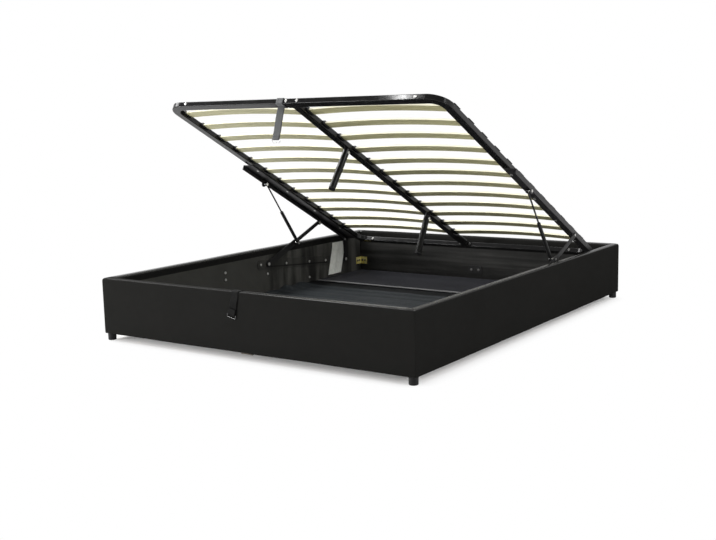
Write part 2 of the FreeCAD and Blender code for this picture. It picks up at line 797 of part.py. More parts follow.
def build_slats():
    """Two columns of bowed slats in caps on the side rails and on the centre beam."""
    slats, side_caps, centre_caps = [], [], []
    saddle = (cap_face, frame_width / 2 + cap_overhang)
    rail_side = (cap_face - cap_reach, cap_face)
    beam_saddle = (-beam_cap_face, beam_cap_face)
    beam_sides = ((-beam_cap_face - cap_reach, -beam_cap_face), (beam_cap_face, beam_cap_face + cap_reach))
    for row in range(slat_rows):
        from_head = first_slat_from_head - row * slat_pitch
        slats.append(slat(from_head, 0))
        pocket = slat(from_head, slip)
        side_caps.append(slat_cap(saddle, [rail_side], from_head).cut(pocket))
        double_cap = slat_cap(beam_saddle, beam_sides, from_head)
        centre_caps.append(double_cap.cut([pocket, mirrored(pocket)]))
    save("right_slats", *[raised(one) for one in slats])
    save("left_slats", *[raised(mirrored(one)) for one in slats])
    save("right_slat_caps", *[raised(one) for one in side_caps])
    save("left_slat_caps", *[raised(mirrored(one)) for one in side_caps])
    save("centre_slat_caps", *[raised(one) for one in centre_caps])


# Straps with their rings
def wire_ring(eye):
    """A rectangular wire ring in the plane of X and Z, hung from its top bar at a point."""
    reach = strap_width / 2 + ring_side_play - ring_bend
    low = -ring_drop
    bars = []
    for height in (0, low):
        bars.append(Part.makeCylinder(ring_wire_radius, 2 * reach, Vector(-reach, 0, height), along_x))
    for side in both_sides:
        x = side * (reach + ring_bend)
        length = ring_drop - 2 * ring_bend
        bars.append(Part.makeCylinder(ring_wire_radius, length, Vector(x, 0, low + ring_bend), along_z))
        for height, pivot_height in ((0, -ring_bend), (low, low + ring_bend)):
            circle = Part.makeCircle(ring_wire_radius, Vector(side * reach, 0, height), along_x)
            profile = Part.Face(Part.Wire(circle))
            turn = 90 * side if height == 0 else -90 * side
            bars.append(profile.revolve(Vector(side * reach, 0, pivot_height), along_y, turn))
    ring = joined(bars)
    ring.translate(eye)
    return ring


def strap_eye(eye):
    """The sewn end of a strap that holds its ring's bar, with the bore for the bar."""
    half = strap_width / 2
    sleeve = Part.makeCylinder(strap_eye_radius, strap_width, eye - along_x * half, along_x)
    bore = Part.makeCylinder(ring_wire_radius + slip, strap_width + 2 * overrun,
                             eye - along_x * (half + overrun), along_x)
    return sleeve, bore


def lift_strap():
    """The webbing looped round the foot rail, its doubled tail, and the ring on its end."""
    half = strap_width / 2
    gap = slip + strap_layer
    low_y, high_y = -frame_length, rail_width - frame_length
    outer = box((lift_strap_x - half, low_y - gap, -rail_half - gap),
                (lift_strap_x + half, high_y + gap, rail_half + gap))
    inner = box((lift_strap_x - half - overrun, low_y - slip, -rail_half - slip),
                (lift_strap_x + half + overrun, high_y + slip, rail_half + slip))
    corners = [e for e in outer.Edges if abs(e.Vertexes[0].X - e.Vertexes[1].X) > half]
    loop = outer.makeFillet(strap_layer, corners).cut(inner)
    hang_y = (low_y + high_y) / 2
    start = Vector(lift_strap_x, hang_y, -rail_half - slip - strap_layer / 2)
    tail = box((lift_strap_x - half, hang_y - strap_layer, start.z - lift_strap_tail),
               (lift_strap_x + half, hang_y + strap_layer, start.z))
    eye = start - along_z * (lift_strap_tail + strap_eye_radius / 2)
    sleeve, bore = strap_eye(eye)
    tail = joined([tail, sleeve]).cut(bore)
    hang = FreeCAD.Rotation(along_x, open_tilt - lift_strap_hang)
    tail.rotate(start, along_x, open_tilt - lift_strap_hang)
    ring_eye = start + hang.multVec(eye - start)
    ring_eye = FreeCAD.Rotation(along_x, -open_tilt).multVec(ring_eye)
    ring = wire_ring(ring_eye + Vector(0, head_open[0], head_open[1]))
    return raised(joined([loop, tail])), ring


def panel_strap():
    """The strap fixed inside the foot panel, over its top edge and down its front."""
    half = strap_width / 2
    gap = slip + strap_layer
    front, back = -half_length, -inner_y
    bottom = panel_top - panel_strap_inner
    low_x, high_x = panel_strap_x - half, panel_strap_x + half

    def saddle(grow, x_from, x_to, low):
        block = box((x_from, front - grow, low), (x_to, back + grow, panel_top + grow))
        upper = [e for e in block.Edges if min(v.Z for v in e.Vertexes) > panel_top
                 and abs(e.Vertexes[0].X - e.Vertexes[1].X) > half]
        return block.makeFillet(cover_radius + grow, upper)

    wrap = saddle(gap, low_x, high_x, bottom)
    wrap = wrap.cut(saddle(slip, low_x - overrun, high_x + overrun, bottom - overrun))
    turn_z = panel_top - panel_strap_turn
    wrap = wrap.cut(box((low_x - overrun, front - gap - overrun, bottom - overrun),
                        (high_x + overrun, front, turn_z)))
    flap = box((low_x, front - gap, turn_z - panel_strap_front), (high_x, front - slip, turn_z + strap_layer))
    eye_z = turn_z - panel_strap_front - strap_eye_radius / 2
    eye = Vector(panel_strap_x, front - slip - strap_eye_radius, eye_z)
    sleeve, bore = strap_eye(eye)
    flap = joined([flap, sleeve]).cut(bore)
    ring = wire_ring(eye)
    for piece in (flap, ring):
        piece.rotate(Vector(panel_strap_x, front, turn_z), along_y, panel_strap_lean)
    return joined([wrap, flap]), ring


def leaflet():
    """A blank folded sheet that hangs askew in front of the left base plate from a hem on the panel."""
    face = slip - base_face_x
    top = leaflet_bottom_z + leaflet_length
    front_y = inner_y - leaflet_from_head - leaflet_width
    back = []
    for along, depth in leaflet_fold_shares:
        back.append(Vector(face + depth * leaflet_fold, front_y + along * leaflet_width, leaflet_bottom_z))
    front = [point + along_x * leaflet_thickness for point in reversed(back)]
    outline = Part.makePolygon(back + front + back[:1])
    sheet = Part.Face(outline).extrude(Vector(0, leaflet_lean, leaflet_length))
    hem = box((-inner_x, front_y + leaflet_lean, top - leaflet_thickness),
              (face + leaflet_thickness, front_y + leaflet_width + leaflet_lean, top))
    return joined([sheet, hem])


def build_soft_pieces():
    """Straps, rings and the leaflet."""
    strap, ring = lift_strap()
    save("lift_strap", strap)
    save("lift_strap_ring", ring)
    strap, ring = panel_strap()
    save("panel_strap", strap)
    save("panel_strap_ring", ring)
    save("leaflet", leaflet())


build_box()
build_floor()
build_linkage()
build_frame()
build_slats()
build_soft_pieces()
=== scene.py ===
import math

import bpy
from mathutils import Matrix, Vector, noise


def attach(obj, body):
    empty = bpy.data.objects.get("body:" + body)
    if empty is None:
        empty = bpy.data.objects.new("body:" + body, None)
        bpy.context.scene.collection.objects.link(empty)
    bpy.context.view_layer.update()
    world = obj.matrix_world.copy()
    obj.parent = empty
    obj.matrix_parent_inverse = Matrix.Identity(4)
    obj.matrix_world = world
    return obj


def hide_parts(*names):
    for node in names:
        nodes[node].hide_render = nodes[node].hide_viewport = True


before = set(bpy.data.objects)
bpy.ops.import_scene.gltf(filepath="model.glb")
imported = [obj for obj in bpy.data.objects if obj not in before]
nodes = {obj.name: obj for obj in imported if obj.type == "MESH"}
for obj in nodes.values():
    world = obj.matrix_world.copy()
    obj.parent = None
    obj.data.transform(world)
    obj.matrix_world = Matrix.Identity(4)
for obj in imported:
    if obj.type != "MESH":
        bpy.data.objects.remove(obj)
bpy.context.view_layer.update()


# Shader arithmetic: one socket of a node tree that adds, multiplies and mixes like a number
class Shade:
    mixFactor, mixFirst, mixSecond, mixResult = 0, 6, 7, 2  # the colour sockets of a Mix node

    def __init__(self, tree, socket):
        self.tree = tree
        self.socket = socket

    def node(self, kind, settings=None, sockets=None, out=0):
        made = self.tree.nodes.new(kind)
        for key, value in (settings or {}).items():
            setattr(made, key, value)
        for key, value in (sockets or {}).items():
            plug(self.tree, made.inputs[key], value)
        return Shade(self.tree, made.outputs[out])

    def mix(self, factor, first, second, blend="MIX"):
        settings = {"data_type": "RGBA", "blend_type": blend}
        sockets = {self.mixFactor: factor, self.mixFirst: first, self.mixSecond: second}
        return self.node("ShaderNodeMix", settings, sockets, self.mixResult)

    def combine(self, other, operation, swapped=False):
        first, second = (other, self) if swapped else (self, other)
        kinds = {side.socket.type for side in (first, second) if isinstance(side, Shade)}
        if "RGBA" in kinds:
            return self.mix(1.0, first, second, operation)
        kind = "ShaderNodeVectorMath" if "VECTOR" in kinds else "ShaderNodeMath"
        return self.node(kind, {"operation": operation}, {0: first, 1: second})

    def __add__(self, other):
        return self.combine(other, "ADD")

    def __radd__(self, other):
        return self.combine(other, "ADD", True)

    def __sub__(self, other):
        return self.combine(other, "SUBTRACT")

    def __rsub__(self, other):
        return self.combine(other, "SUBTRACT", True)

    def __mul__(self, other):
        return self.combine(other, "MULTIPLY")

    def __rmul__(self, other):
        return self.combine(other, "MULTIPLY", True)

    def axis(self, letter):
        return self.node("ShaderNodeSeparateXYZ", None, {0: self}, "XYZ".index(letter))

    def wave(self):
        return self.node("ShaderNodeMath", {"operation": "SINE"}, {0: self})

    def size(self):
        return self.node("ShaderNodeMath", {"operation": "ABSOLUTE"}, {0: self})

    def length(self):
        return self.node("ShaderNodeVectorMath", {"operation": "LENGTH"}, {0: self}, "Value")

    def facing(self, direction):
        sockets = {0: self, 1: direction}
        return self.node("ShaderNodeVectorMath", {"operation": "DOT_PRODUCT"}, sockets, "Value")

    def normal(self):
        return self.node("ShaderNodeTexCoord", out="Normal")

    def rays(self, kind):
        return self.node("ShaderNodeLightPath", out="Is %s Ray" % kind)

    def between(self, low, high, fromValue=0.0, toValue=1.0):
        settings = {"interpolation_type": "SMOOTHSTEP", "clamp": True}
        sockets = {"Value": self, "From Min": low, "From Max": high, "To Min": fromValue, "To Max": toValue}
        return self.node("ShaderNodeMapRange", settings, sockets)

    def grain(self, scale, detail, rough=0.55):
        sockets = {"Vector": self, "Scale": scale, "Detail": detail, "Roughness": rough}
        return self.node("ShaderNodeTexNoise", None, sockets)

    def cells(self, scale, feature="F1"):
        return self.node("ShaderNodeTexVoronoi", {"feature": feature}, {"Vector": self, "Scale": scale})

    def tinted(self, look):
        return self.mix(self, look["dark"], look["pale"])

    def bump(self, depth, strength):
        return self.node("ShaderNodeBump", None, {"Strength": strength, "Distance": depth, "Height": self})


def plug(tree, socket, value):
    if isinstance(value, Shade):
        tree.links.new(value.socket, socket)
    elif socket.type == "RGBA":
        colour = (value,) * 3 if isinstance(value, (int, float)) else tuple(value)
        socket.default_value = (*colour, 1.0)
    elif socket.type == "VECTOR" and isinstance(value, (int, float)):
        socket.default_value = (value,) * 3
    else:
        socket.default_value = value


def makeMaterial(name, paint, look, source="Object"):
    made = bpy.data.materials.new(name)
    made.use_nodes = True
    tree = made.node_tree
    tree.nodes.clear()
    output = tree.nodes.new("ShaderNodeOutputMaterial")
    shader = tree.nodes.new("ShaderNodeBsdfPrincipled")
    tree.links.new(shader.outputs[0], output.inputs[0])
    place = Shade(tree, tree.nodes.new("ShaderNodeTexCoord").outputs[source])
    for key, value in paint(place, look).items():
        plug(tree, shader.inputs[key], value)
    return made


# Materials: a look of named values, and a function that paints it by the place on the piece in metres.
# A grain is (scale, detail, roughness), rough is (base, share of wear) and relief is (depth, strength).
constants = {"specular": "Specular IOR Level", "metallic": "Metallic", "sheen": "Sheen Weight",
             "coatRough": "Coat Roughness"}  # sockets with one value


def surface(look, colour, wear, height):
    base, swing = look["rough"]
    fixed = {socket: look[key] for key, socket in constants.items() if key in look}
    bumps = height.bump(*look["relief"])
    return {"Base Color": colour, "Roughness": base + swing * wear, "Normal": bumps, **fixed}


def paintWorn(place, look):
    wear = place.grain(*look["wear"])
    return surface(look, wear.tinted(look), wear, place.grain(*look["skin"]))


leatherLook = {
    "dark": (0.0125, 0.0124, 0.0117), "pale": (0.0175, 0.0172, 0.0163), "rough": (0.46, 0.16),
    "relief": (0.00018, 0.5), "clouds": (4.0, 4.0), "rubs": (26.0, 5.0), "pores": (1800.0, 3.0),
    "pebbles": 620.0, "creases": 300.0, "creaseWidth": 0.12, "topSheen": (0.5, 0.95),
    "sheenAcross": (-0.1, 0.95, 0.09, 0.95), "sheenRight": (0.79, 0.80, 1.0, 0.6),
    "rollAcross": (-0.785, -0.795), "rollAlong": (-1.01, -0.97), "rollSheen": (0.1, 0.6),
    "rollCoat": 0.88, "specular": 0.0, "coatRough": 0.24
}


def paintLeather(place, look):
    rubs = place.grain(*look["rubs"])
    creases = place.cells(look["creases"], "DISTANCE_TO_EDGE").between(0.0, look["creaseWidth"])
    height = place.cells(look["pebbles"]) * 0.5 + creases * 0.5 + place.grain(*look["pores"]) * 0.3
    side, up = place.axis("X"), place.normal().axis("Z")
    sheen = up.between(*look["topSheen"]) * side.between(*look["sheenAcross"])
    sheen = sheen * side.between(*look["sheenRight"])
    leftRoll = side.between(*look["rollAcross"]) * place.axis("Y").between(*look["rollAlong"])
    coat = sheen + look["rollCoat"] * leftRoll * up.between(*look["rollSheen"])
    tone = place.grain(*look["clouds"]) * 0.6 + rubs * 0.4
    return {**surface(look, tone.tinted(look), rubs, height), "Coat Weight": coat}


streakLook = {
    "stretch": (0.3, 17.0, 1.8), "streaks": (1.0, 3.0, 0.5), "contrast": (0.32, 0.68),
    "blotches": (9.0, 5.0), "loose": (0.02, 0.14)
}


def foldShadeStreaks(place):
    # painted shade and light of the upright folds, as streaks which start behind the middle of the box, on
    # blotches of the cloth's own uneven tone
    look = streakLook
    streaks = (place * look["stretch"]).grain(*look["streaks"]).between(*look["contrast"])
    loose = place.axis("Y").between(*look["loose"])
    return place.grain(*look["blotches"]) * 0.3 + streaks * loose * 0.75 + (1.0 - loose) * 0.42 - 0.1


liningLook = {
    "dark": (0.010, 0.0098, 0.0088), "pale": (0.096, 0.095, 0.086), "rough": (0.55, 0.2),
    "relief": (0.0003, 0.5), "weavePitch": 2900.0, "fuzz": (700.0, 2.0), "wear": (60.0, 3.0),
    "specular": 0.15
}
# the side lining's copy for the head wall, painted darker there because more light falls on the head wall
headLiningLook = {
    **liningLook, "dark": (0.0078, 0.0076, 0.0070), "pale": (0.044, 0.0435, 0.041),
    "stretch": (1.3, 0.3, 24.0), "rippleShadeBands": (1.0, 3.0, 0.5), "contrast": (0.36, 0.64),
    "blotches": (9.0, 5.0)
}


def paintLining(place, look):
    return wovenLining(place, look, foldShadeStreaks(place))


def paintHeadLining(place, look):
    # painted shade of the level ripples, as bands, on blotches of the cloth's own uneven tone
    rippleShadeBands = (place * look["stretch"]).grain(*look["rippleShadeBands"]).between(*look["contrast"])
    return wovenLining(place, look, place.grain(*look["blotches"]) * 0.4 + rippleShadeBands * 0.6)


def wovenLining(place, look, tone):
    across, along, up = ((place.axis(letter) * look["weavePitch"]).wave() for letter in "XYZ")
    height = (across + along + up) * 0.3 + place.grain(*look["fuzz"])
    return surface(look, tone.tinted(look), place.grain(*look["wear"]), height)


clothLook = {
    "dark": (0.0088, 0.0108, 0.0125), "pale": (0.0330, 0.0372, 0.0405), "rough": (0.46, 0.22),
    "relief": (0.0004, 0.45), "weavePitch": 3900.0, "rippleStretch": (0.7, 15.0, 2.0),
    "ripples": (1.0, 4.0, 0.55), "contrast": (0.3, 0.7), "slubStretch": (6.0, 160.0, 6.0),
    "slubs": (3.0, 3.0), "underMat": (0.428, 0.446), "underMatShade": 0.86,
    "shadeAcross": (0.0, 0.6, 1.2, 0.88), "specular": 0.08
}


def paintFloorCloth(place, look):
    weft, warp = ((place.axis(letter) * look["weavePitch"]).wave() for letter in "XY")
    # painted shade of the cloth's ripples: long level bands, darker and lighter, across the floor
    ripples = (place * look["rippleStretch"]).grain(*look["ripples"]).between(*look["contrast"])
    slubs = (place * look["slubStretch"]).grain(*look["slubs"])
    matShadow = place.axis("Y").between(*look["underMat"])  # painted shadow of the mat's front edge, on the cloth in front of and under it
    # painted shade: lighter on the left, darker towards the right panel
    sideShade = place.axis("X").between(*look["shadeAcross"])
    tone = (ripples * 0.75 + slubs * 0.25).tinted(look)
    shaded = tone * ((1.0 - look["underMatShade"] * matShadow) * sideShade)
    return surface(look, shaded, slubs, weft * warp * 0.4 + slubs)


matLook = {
    "dark": (0.0150, 0.0152, 0.0178), "pale": (0.0310, 0.0316, 0.0365), "rough": (0.55, 0.2),
    "relief": (0.0004, 0.4), "cloudStretch": (3.0, 5.0, 2.0), "clouds": (1.5, 4.0),
    "fibres": (420.0, 4.0, 0.7), "specular": 0.1
}


def paintMat(place, look):
    clouds = (place * look["cloudStretch"]).grain(*look["clouds"])
    fibres = place.grain(*look["fibres"])
    return surface(look, (clouds * 0.6 + fibres * 0.4).tinted(look), fibres, fibres)


bindingLook = {
    "dark": (0.085, 0.086, 0.090), "pale": (0.19, 0.19, 0.19), "rough": (0.5, 0.15),
    "relief": (0.0003, 0.5), "threadPitch": 2600.0, "wear": (30.0, 4.0)
}


def paintBinding(place, look):
    threads = (place.axis("X") * look["threadPitch"]).wave() * 0.5 + 0.5
    wear = place.grain(*look["wear"])
    return surface(look, (threads * 0.4 + wear * 0.6).tinted(look), wear, threads)


tubeLook = {
    "dark": (0.005, 0.005, 0.0056), "pale": (0.0105, 0.0102, 0.0098), "rough": (0.11, 0.08),
    "relief": (0.00003, 0.3), "peel": (140.0, 1.0), "dust": (34.0, 6.0, 0.65),
    "dustContrast": (0.4, 0.75), "specular": 0.22
}


def paintTube(place, look):
    dust = place.grain(*look["dust"])
    wear = dust.between(*look["dustContrast"])
    return surface(look, dust.tinted(look), wear, place.grain(*look["peel"]))


powderLook = {
    "dark": (0.010, 0.010, 0.0105), "pale": (0.022, 0.0215, 0.021), "rough": (0.36, 0.2),
    "relief": (0.00012, 0.6), "skin": (900.0, 3.0, 0.7), "wear": (22.0, 6.0, 0.7), "specular": 0.15
}
# a paler copy of the black powder coat, for the lift arms
armLook = {
    **powderLook, "dark": (0.016, 0.0157, 0.0165), "pale": (0.037, 0.0355, 0.037), "rough": (0.34, 0.2),
    "specular": 0.2
}


plateLook = {
    **powderLook, "dark": (0.012, 0.0118, 0.0108), "pale": (0.066, 0.065, 0.059), "rough": (0.5, 0.2),
    "wear": (40.0, 3.0), "lineHeight": 0.1962, "lineFall": 0.0873, "lineEdge": (0.0048, 0.0028),
    "lineFront": (0.08, 0.12), "lineRear": (0.68, 0.62), "lineShade": 0.8
}


def paintGreyPlate(place, look):
    along = place.axis("Y")
    fromLine = place.axis("Z") + along * look["lineFall"] - look["lineHeight"]
    line = fromLine.size().between(*look["lineEdge"])  # painted shadow: a dark line along the plate's lower edge
    shade = look["lineShade"] * line
    shade = shade * along.between(*look["lineFront"]) * along.between(*look["lineRear"])
    # the same painted fold shade as on the lining
    colour = foldShadeStreaks(place).tinted(look) * (1.0 - shade)
    return surface(look, colour, place.grain(*look["wear"]), place.grain(*look["skin"]))


plasticLook = {
    "dark": (0.0085, 0.0085, 0.009), "pale": (0.016, 0.016, 0.016), "rough": (0.42, 0.16),
    "relief": (0.00008, 0.6), "skin": (1300.0, 2.0), "wear": (18.0, 4.0), "specular": 0.15
}
capLook = {
    **plasticLook, "dark": (0.024, 0.024, 0.025), "pale": (0.042, 0.042, 0.042), "rough": (0.36, 0.16),
    "specular": 0.3
}


birchLook = {
    "dark": (0.325, 0.306, 0.166), "pale": (0.495, 0.468, 0.278), "rough": (0.36, 0.18),
    "sawn": {"dark": (0.80, 0.765, 0.58), "pale": (0.90, 0.87, 0.70)}, "relief": (0.00012, 0.5),
    "ringStretch": (0.9, 26.0, 26.0), "rings": (2.2, 5.0, 0.6), "poreStretch": (9.0, 420.0, 420.0),
    "pores": (3.0, 2.0), "boardStretch": (0.6, 7.4, 7.4), "boards": (1.0, 1.0), "contrast": (0.3, 0.7),
    "tiltRun": 0.886, "tiltRise": 0.463, "sawnFacing": (0.6, 0.9), "plyPitch": 4200.0, "specular": 0.45
}


def paintBirch(place, look):
    rings = (place * look["ringStretch"]).grain(*look["rings"])
    pores = (place * look["poreStretch"]).grain(*look["pores"])
    boards = (place * look["boardStretch"]).grain(*look["boards"])
    face = (rings * 0.55 + pores * 0.2 + boards * 0.25).between(*look["contrast"]).tinted(look)
    run, rise = look["tiltRun"], look["tiltRise"]  # of the raised frame
    sawn = place.normal().facing((0.0, -run, rise)).size().between(*look["sawnFacing"])
    plies = ((place.axis("Z") * run + place.axis("Y") * rise) * look["plyPitch"]).wave()
    edge = (plies * 0.25 + rings * 0.6).tinted(look["sawn"])  # plies show paler on the sawn edges
    return surface(look, place.mix(sawn, face, edge), rings, pores)


zincLook = {
    "dark": (0.42, 0.42, 0.41), "pale": (0.66, 0.65, 0.62), "rough": (0.2, 0.2), "relief": (0.00004, 0.4),
    "stains": (120.0, 4.0), "brushStretch": (40.0, 900.0, 900.0), "brush": (1.0, 3.0),
    "headwardRange": (0.6, 0.8), "headwardDarkening": 0.7, "metallic": 1.0
}
paleZincLook = {
    **zincLook, "dark": (0.36, 0.36, 0.345), "pale": (0.58, 0.575, 0.55), "rough": (0.3, 0.2),
    "brushStretch": (1.0, 1.0, 1.0), "brush": (120.0, 4.0), "headwardRange": (0.93, 0.97), "headwardDarkening": 0.78,
    "metallic": 0.35
}


def paintZinc(place, look):
    brush = (place * look["brushStretch"]).grain(*look["brush"])
    headward = place.axis("Y").between(*look["headwardRange"])  # darker towards the head end
    tone = place.grain(*look["stains"]).tinted(look)
    return surface(look, tone * (1.0 - look["headwardDarkening"] * headward), brush, brush)


yellowZincLook = {
    "dark": (0.66, 0.54, 0.12), "pale": (0.92, 0.86, 0.42), "rough": (0.28, 0.2),
    "relief": (0.00005, 0.5), "stains": (70.0, 5.0, 0.65), "contrast": (0.3, 0.7),
    "brushStretch": (60.0, 60.0, 700.0), "brush": (1.0, 2.0), "metallic": 0.45
}


def paintYellowZinc(place, look):
    stains = place.grain(*look["stains"])
    brush = (place * look["brushStretch"]).grain(*look["brush"])
    return surface(look, stains.between(*look["contrast"]).tinted(look), stains, brush)


rodLook = {
    "dark": (0.03, 0.03, 0.032), "pale": (0.06, 0.06, 0.063), "stud": (0.62, 0.62, 0.60),
    "rough": (0.16, 0.12), "relief": (0.00003, 0.4), "turnStretch": (30.0, 30.0, 1400.0),
    "turned": (1.0, 2.0), "oil": (60.0, 4.0), "studPlace": (0.0, 0.0763, 0.6412),
    "studEdge": (0.0085, 0.0075), "metallic": 1.0
}


def paintRod(place, look):
    turned = (place * look["turnStretch"]).grain(*look["turned"])
    oil = place.grain(*look["oil"])
    fromStud = (place - look["studPlace"]) * (0.0, 1.0, 1.0)  # the stud at the upper end is bare zinc
    stud = fromStud.length().between(*look["studEdge"])
    return surface(look, place.mix(stud, oil.tinted(look), look["stud"]), oil, turned)


brightWireLook = {
    "dark": (0.20, 0.20, 0.205), "pale": (0.38, 0.38, 0.375), "rough": (0.14, 0.14),
    "relief": (0.00003, 0.4), "wear": (300.0, 4.0), "skin": (300.0, 4.0), "metallic": 1.0
}
dullWireLook = {
    **brightWireLook, "dark": (0.07, 0.07, 0.071), "pale": (0.15, 0.15, 0.148), "rough": (0.2, 0.14)
}


chipboardLook = {
    "dark": (0.27, 0.18, 0.10), "pale": (0.46, 0.34, 0.21), "rough": (0.7, 0.15), "relief": (0.0003, 0.5),
    "chips": 260.0, "flakes": 90.0
}


def paintChipboard(place, look):
    chips = place.cells(look["chips"])
    tone = chips * 0.6 + place.cells(look["flakes"]) * 0.4
    return surface(look, tone.tinted(look), chips, chips)


softwoodLook = {
    "dark": (0.055, 0.045, 0.035), "pale": (0.12, 0.10, 0.08), "rough": (0.6, 0.2),
    "relief": (0.0003, 0.4), "ringStretch": (30.0, 1.2, 30.0), "rings": (2.0, 5.0), "contrast": (0.3, 0.7)
}


def paintSoftwood(place, look):
    rings = (place * look["ringStretch"]).grain(*look["rings"])
    return surface(look, rings.between(*look["contrast"]).tinted(look), rings, rings)


webbingLook = {
    "dark": (0.019, 0.020, 0.022), "pale": (0.068, 0.071, 0.073), "rough": (0.6, 0.2),
    "relief": (0.0005, 0.7), "ribPitch": 3300.0, "pickPitch": 2800.0, "pickLean": 1.6,
    "fades": (14.0, 4.0), "selvedge": (0.0155, 0.0185), "sheen": 0.25
}


def paintWebbing(place, look):
    along, side = place.axis("X"), place.axis("Y")
    rows = (side * look["ribPitch"]).wave()
    ribs = rows * 0.5 + 0.5
    picks = (along * look["pickPitch"] + rows * look["pickLean"]).wave() * 0.5 + 0.5
    fades = place.grain(*look["fades"])
    tone = ribs * 0.35 + picks * 0.35 + fades * 0.45 - side.size().between(*look["selvedge"]) * 0.15
    return surface(look, tone.tinted(look), fades, ribs * picks)


strapLook = {
    "dark": (0.006, 0.006, 0.006), "pale": (0.0145, 0.0143, 0.0138), "rough": (0.42, 0.2),
    "relief": (0.0005, 0.6), "pebbles": 900.0, "seamFromMiddle": 0.0155, "seamEdge": (0.0006, 0.0014),
    "stitchPitch": 1250.0, "stitchEdge": (-0.3, 0.3), "fades": (30.0, 4.0), "specular": 0.02
}


def paintBlackStrap(place, look):
    seam = (place.axis("Y").size() - look["seamFromMiddle"]).size().between(*look["seamEdge"])
    stitches = (place.axis("X") * look["stitchPitch"]).wave().between(*look["stitchEdge"])
    fades = place.grain(*look["fades"])
    height = seam + stitches * 0.3 + place.cells(look["pebbles"]) * 0.25
    return surface(look, fades.tinted(look), fades, height)


leafletLook = {
    "dark": (0.80, 0.82, 0.74), "pale": (0.97, 0.98, 0.92), "rough": (0.5, 0.2), "relief": (0.0012, 0.6),
    "creases": 26.0, "creaseWidth": 0.16, "clouds": (20.0, 5.0)
}


def paintLeaflet(place, look):
    creases = place.cells(look["creases"], "DISTANCE_TO_EDGE").between(0.0, look["creaseWidth"])
    clouds = place.grain(*look["clouds"])
    # darker along the creases: painted shade of the crumples; the clouds are the sheet's own uneven tone
    return surface(look, (creases * 0.35 + clouds * 0.65).tinted(look), clouds, creases + clouds)


stitchLook = {
    "dark": (0.010, 0.010, 0.010), "pale": (0.026, 0.026, 0.026), "rough": (0.55, 0.2),
    "relief": (0.0002, 0.5), "wear": (900.0, 2.0), "skin": (900.0, 2.0)
}


leather = makeMaterial("black_leather", paintLeather, leatherLook)
lining = makeMaterial("dark_lining", paintLining, liningLook)
headLining = makeMaterial("head_lining", paintHeadLining, headLiningLook)
floorCloth = makeMaterial("floor_cloth", paintFloorCloth, clothLook)
matFelt = makeMaterial("floor_mat_felt", paintMat, matLook)
binding = makeMaterial("mat_binding", paintBinding, bindingLook)
tubePaint = makeMaterial("gloss_black_tube", paintTube, tubeLook)
powderPaint = makeMaterial("black_powder_coat", paintWorn, powderLook)
armPaint = makeMaterial("paler_powder_coat", paintWorn, armLook)
greyPlate = makeMaterial("grey_plate", paintGreyPlate, plateLook)
plastic = makeMaterial("black_plastic", paintWorn, plasticLook)
capPlastic = makeMaterial("cap_plastic", paintWorn, capLook)
birch = makeMaterial("birch_slat", paintBirch, birchLook)
zinc = makeMaterial("bright_zinc", paintZinc, zincLook)
paleZinc = makeMaterial("pale_zinc", paintZinc, paleZincLook)
yellowZinc = makeMaterial("yellow_zinc", paintYellowZinc, yellowZincLook)
rodChrome = makeMaterial("strut_rod_chrome", paintRod, rodLook)
brightWire = makeMaterial("bright_wire", paintWorn, brightWireLook)
dullWire = makeMaterial("dull_wire", paintWorn, dullWireLook)
chipboard = makeMaterial("chipboard", paintChipboard, chipboardLook)
softwood = makeMaterial("dark_softwood", paintSoftwood, softwoodLook)
webbing = makeMaterial("grey_webbing", paintWebbing, webbingLook, "UV")
blackStrap = makeMaterial("black_strap", paintBlackStrap, strapLook, "UV")
paleSheet = makeMaterial("pale_sheet", paintLeaflet, leafletLook, "UV")
stitchThread = makeMaterial("black_thread", paintWorn, stitchLook)
print("materials made:", len(bpy.data.materials))


# Mesh helpers
def addObject(name, data):
    made = bpy.data.objects.new(name, data)
    bpy.context.scene.collection.objects.link(made)
    return made


def smooth(low, high, value):
    share = min(1.0, max(0.0, (value - low) / (high - low)))
    return share * share * (3.0 - 2.0 * share)


def turns(start, end, steps):
    return [math.radians(start + (end - start) * step / steps) for step in range(steps + 1)]


def ripple(x, y, wave):
    # wave is how fast the noise turns along x and along y, and its seed
    return noise.noise(Vector((x * wave[0], y * wave[1], wave[2])))


def makePiece(name, points, faces, materials, body, uvs=None, faceSlots=None):
    mesh = bpy.data.meshes.new(name)
    mesh.from_pydata(points, [], faces)
    mesh.validate()
    for one in materials:
        mesh.materials.append(one)
    if faceSlots:
        mesh.polygons.foreach_set("material_index", faceSlots)
    if uvs:
        layer = mesh.uv_layers.new(name="metres")
        for loop in mesh.loops:
            layer.data[loop.index].uv = uvs[loop.vertex_index]
    mesh.polygons.foreach_set("use_smooth", [True] * len(mesh.polygons))
    piece = addObject(name, mesh)
    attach(piece, body)
    return piece


def gridFaces(rows, columns, closed=False):
    faces = []
    across = columns if closed else columns - 1
    for row in range(rows - 1):
        for column in range(across):
            after = (column + 1) % columns
            faces.append((row * columns + column, row * columns + after,
                          (row + 1) * columns + after, (row + 1) * columns + column))
    return faces


# Upholstered panels: a swept cover each, with rounded seams outside and linings on a mitre inside
panelSize = {
    "halfWidth": 0.840, "halfLength": 1.040, "thickness": 0.040, "bottom": 0.032, "top": 0.290,
    "topRadius": 0.012, "lowRadius": 0.004, "wrap": 0.036, "hem": 0.010, "hemDrop": 0.0005,
    "liningRaise": 0.001, "step": 0.013, "seamRadius": 0.0042,
    "seamShares": (0.0, 0.08, 0.3, 0.62, 1.0, 2.2), "seamClear": 1.5, "sag": 0.0009, "sagReach": 0.05,
    "sagWave": (4.2, 5.0), "turnSeed": 0.1, "innerSeed": 3.0
}


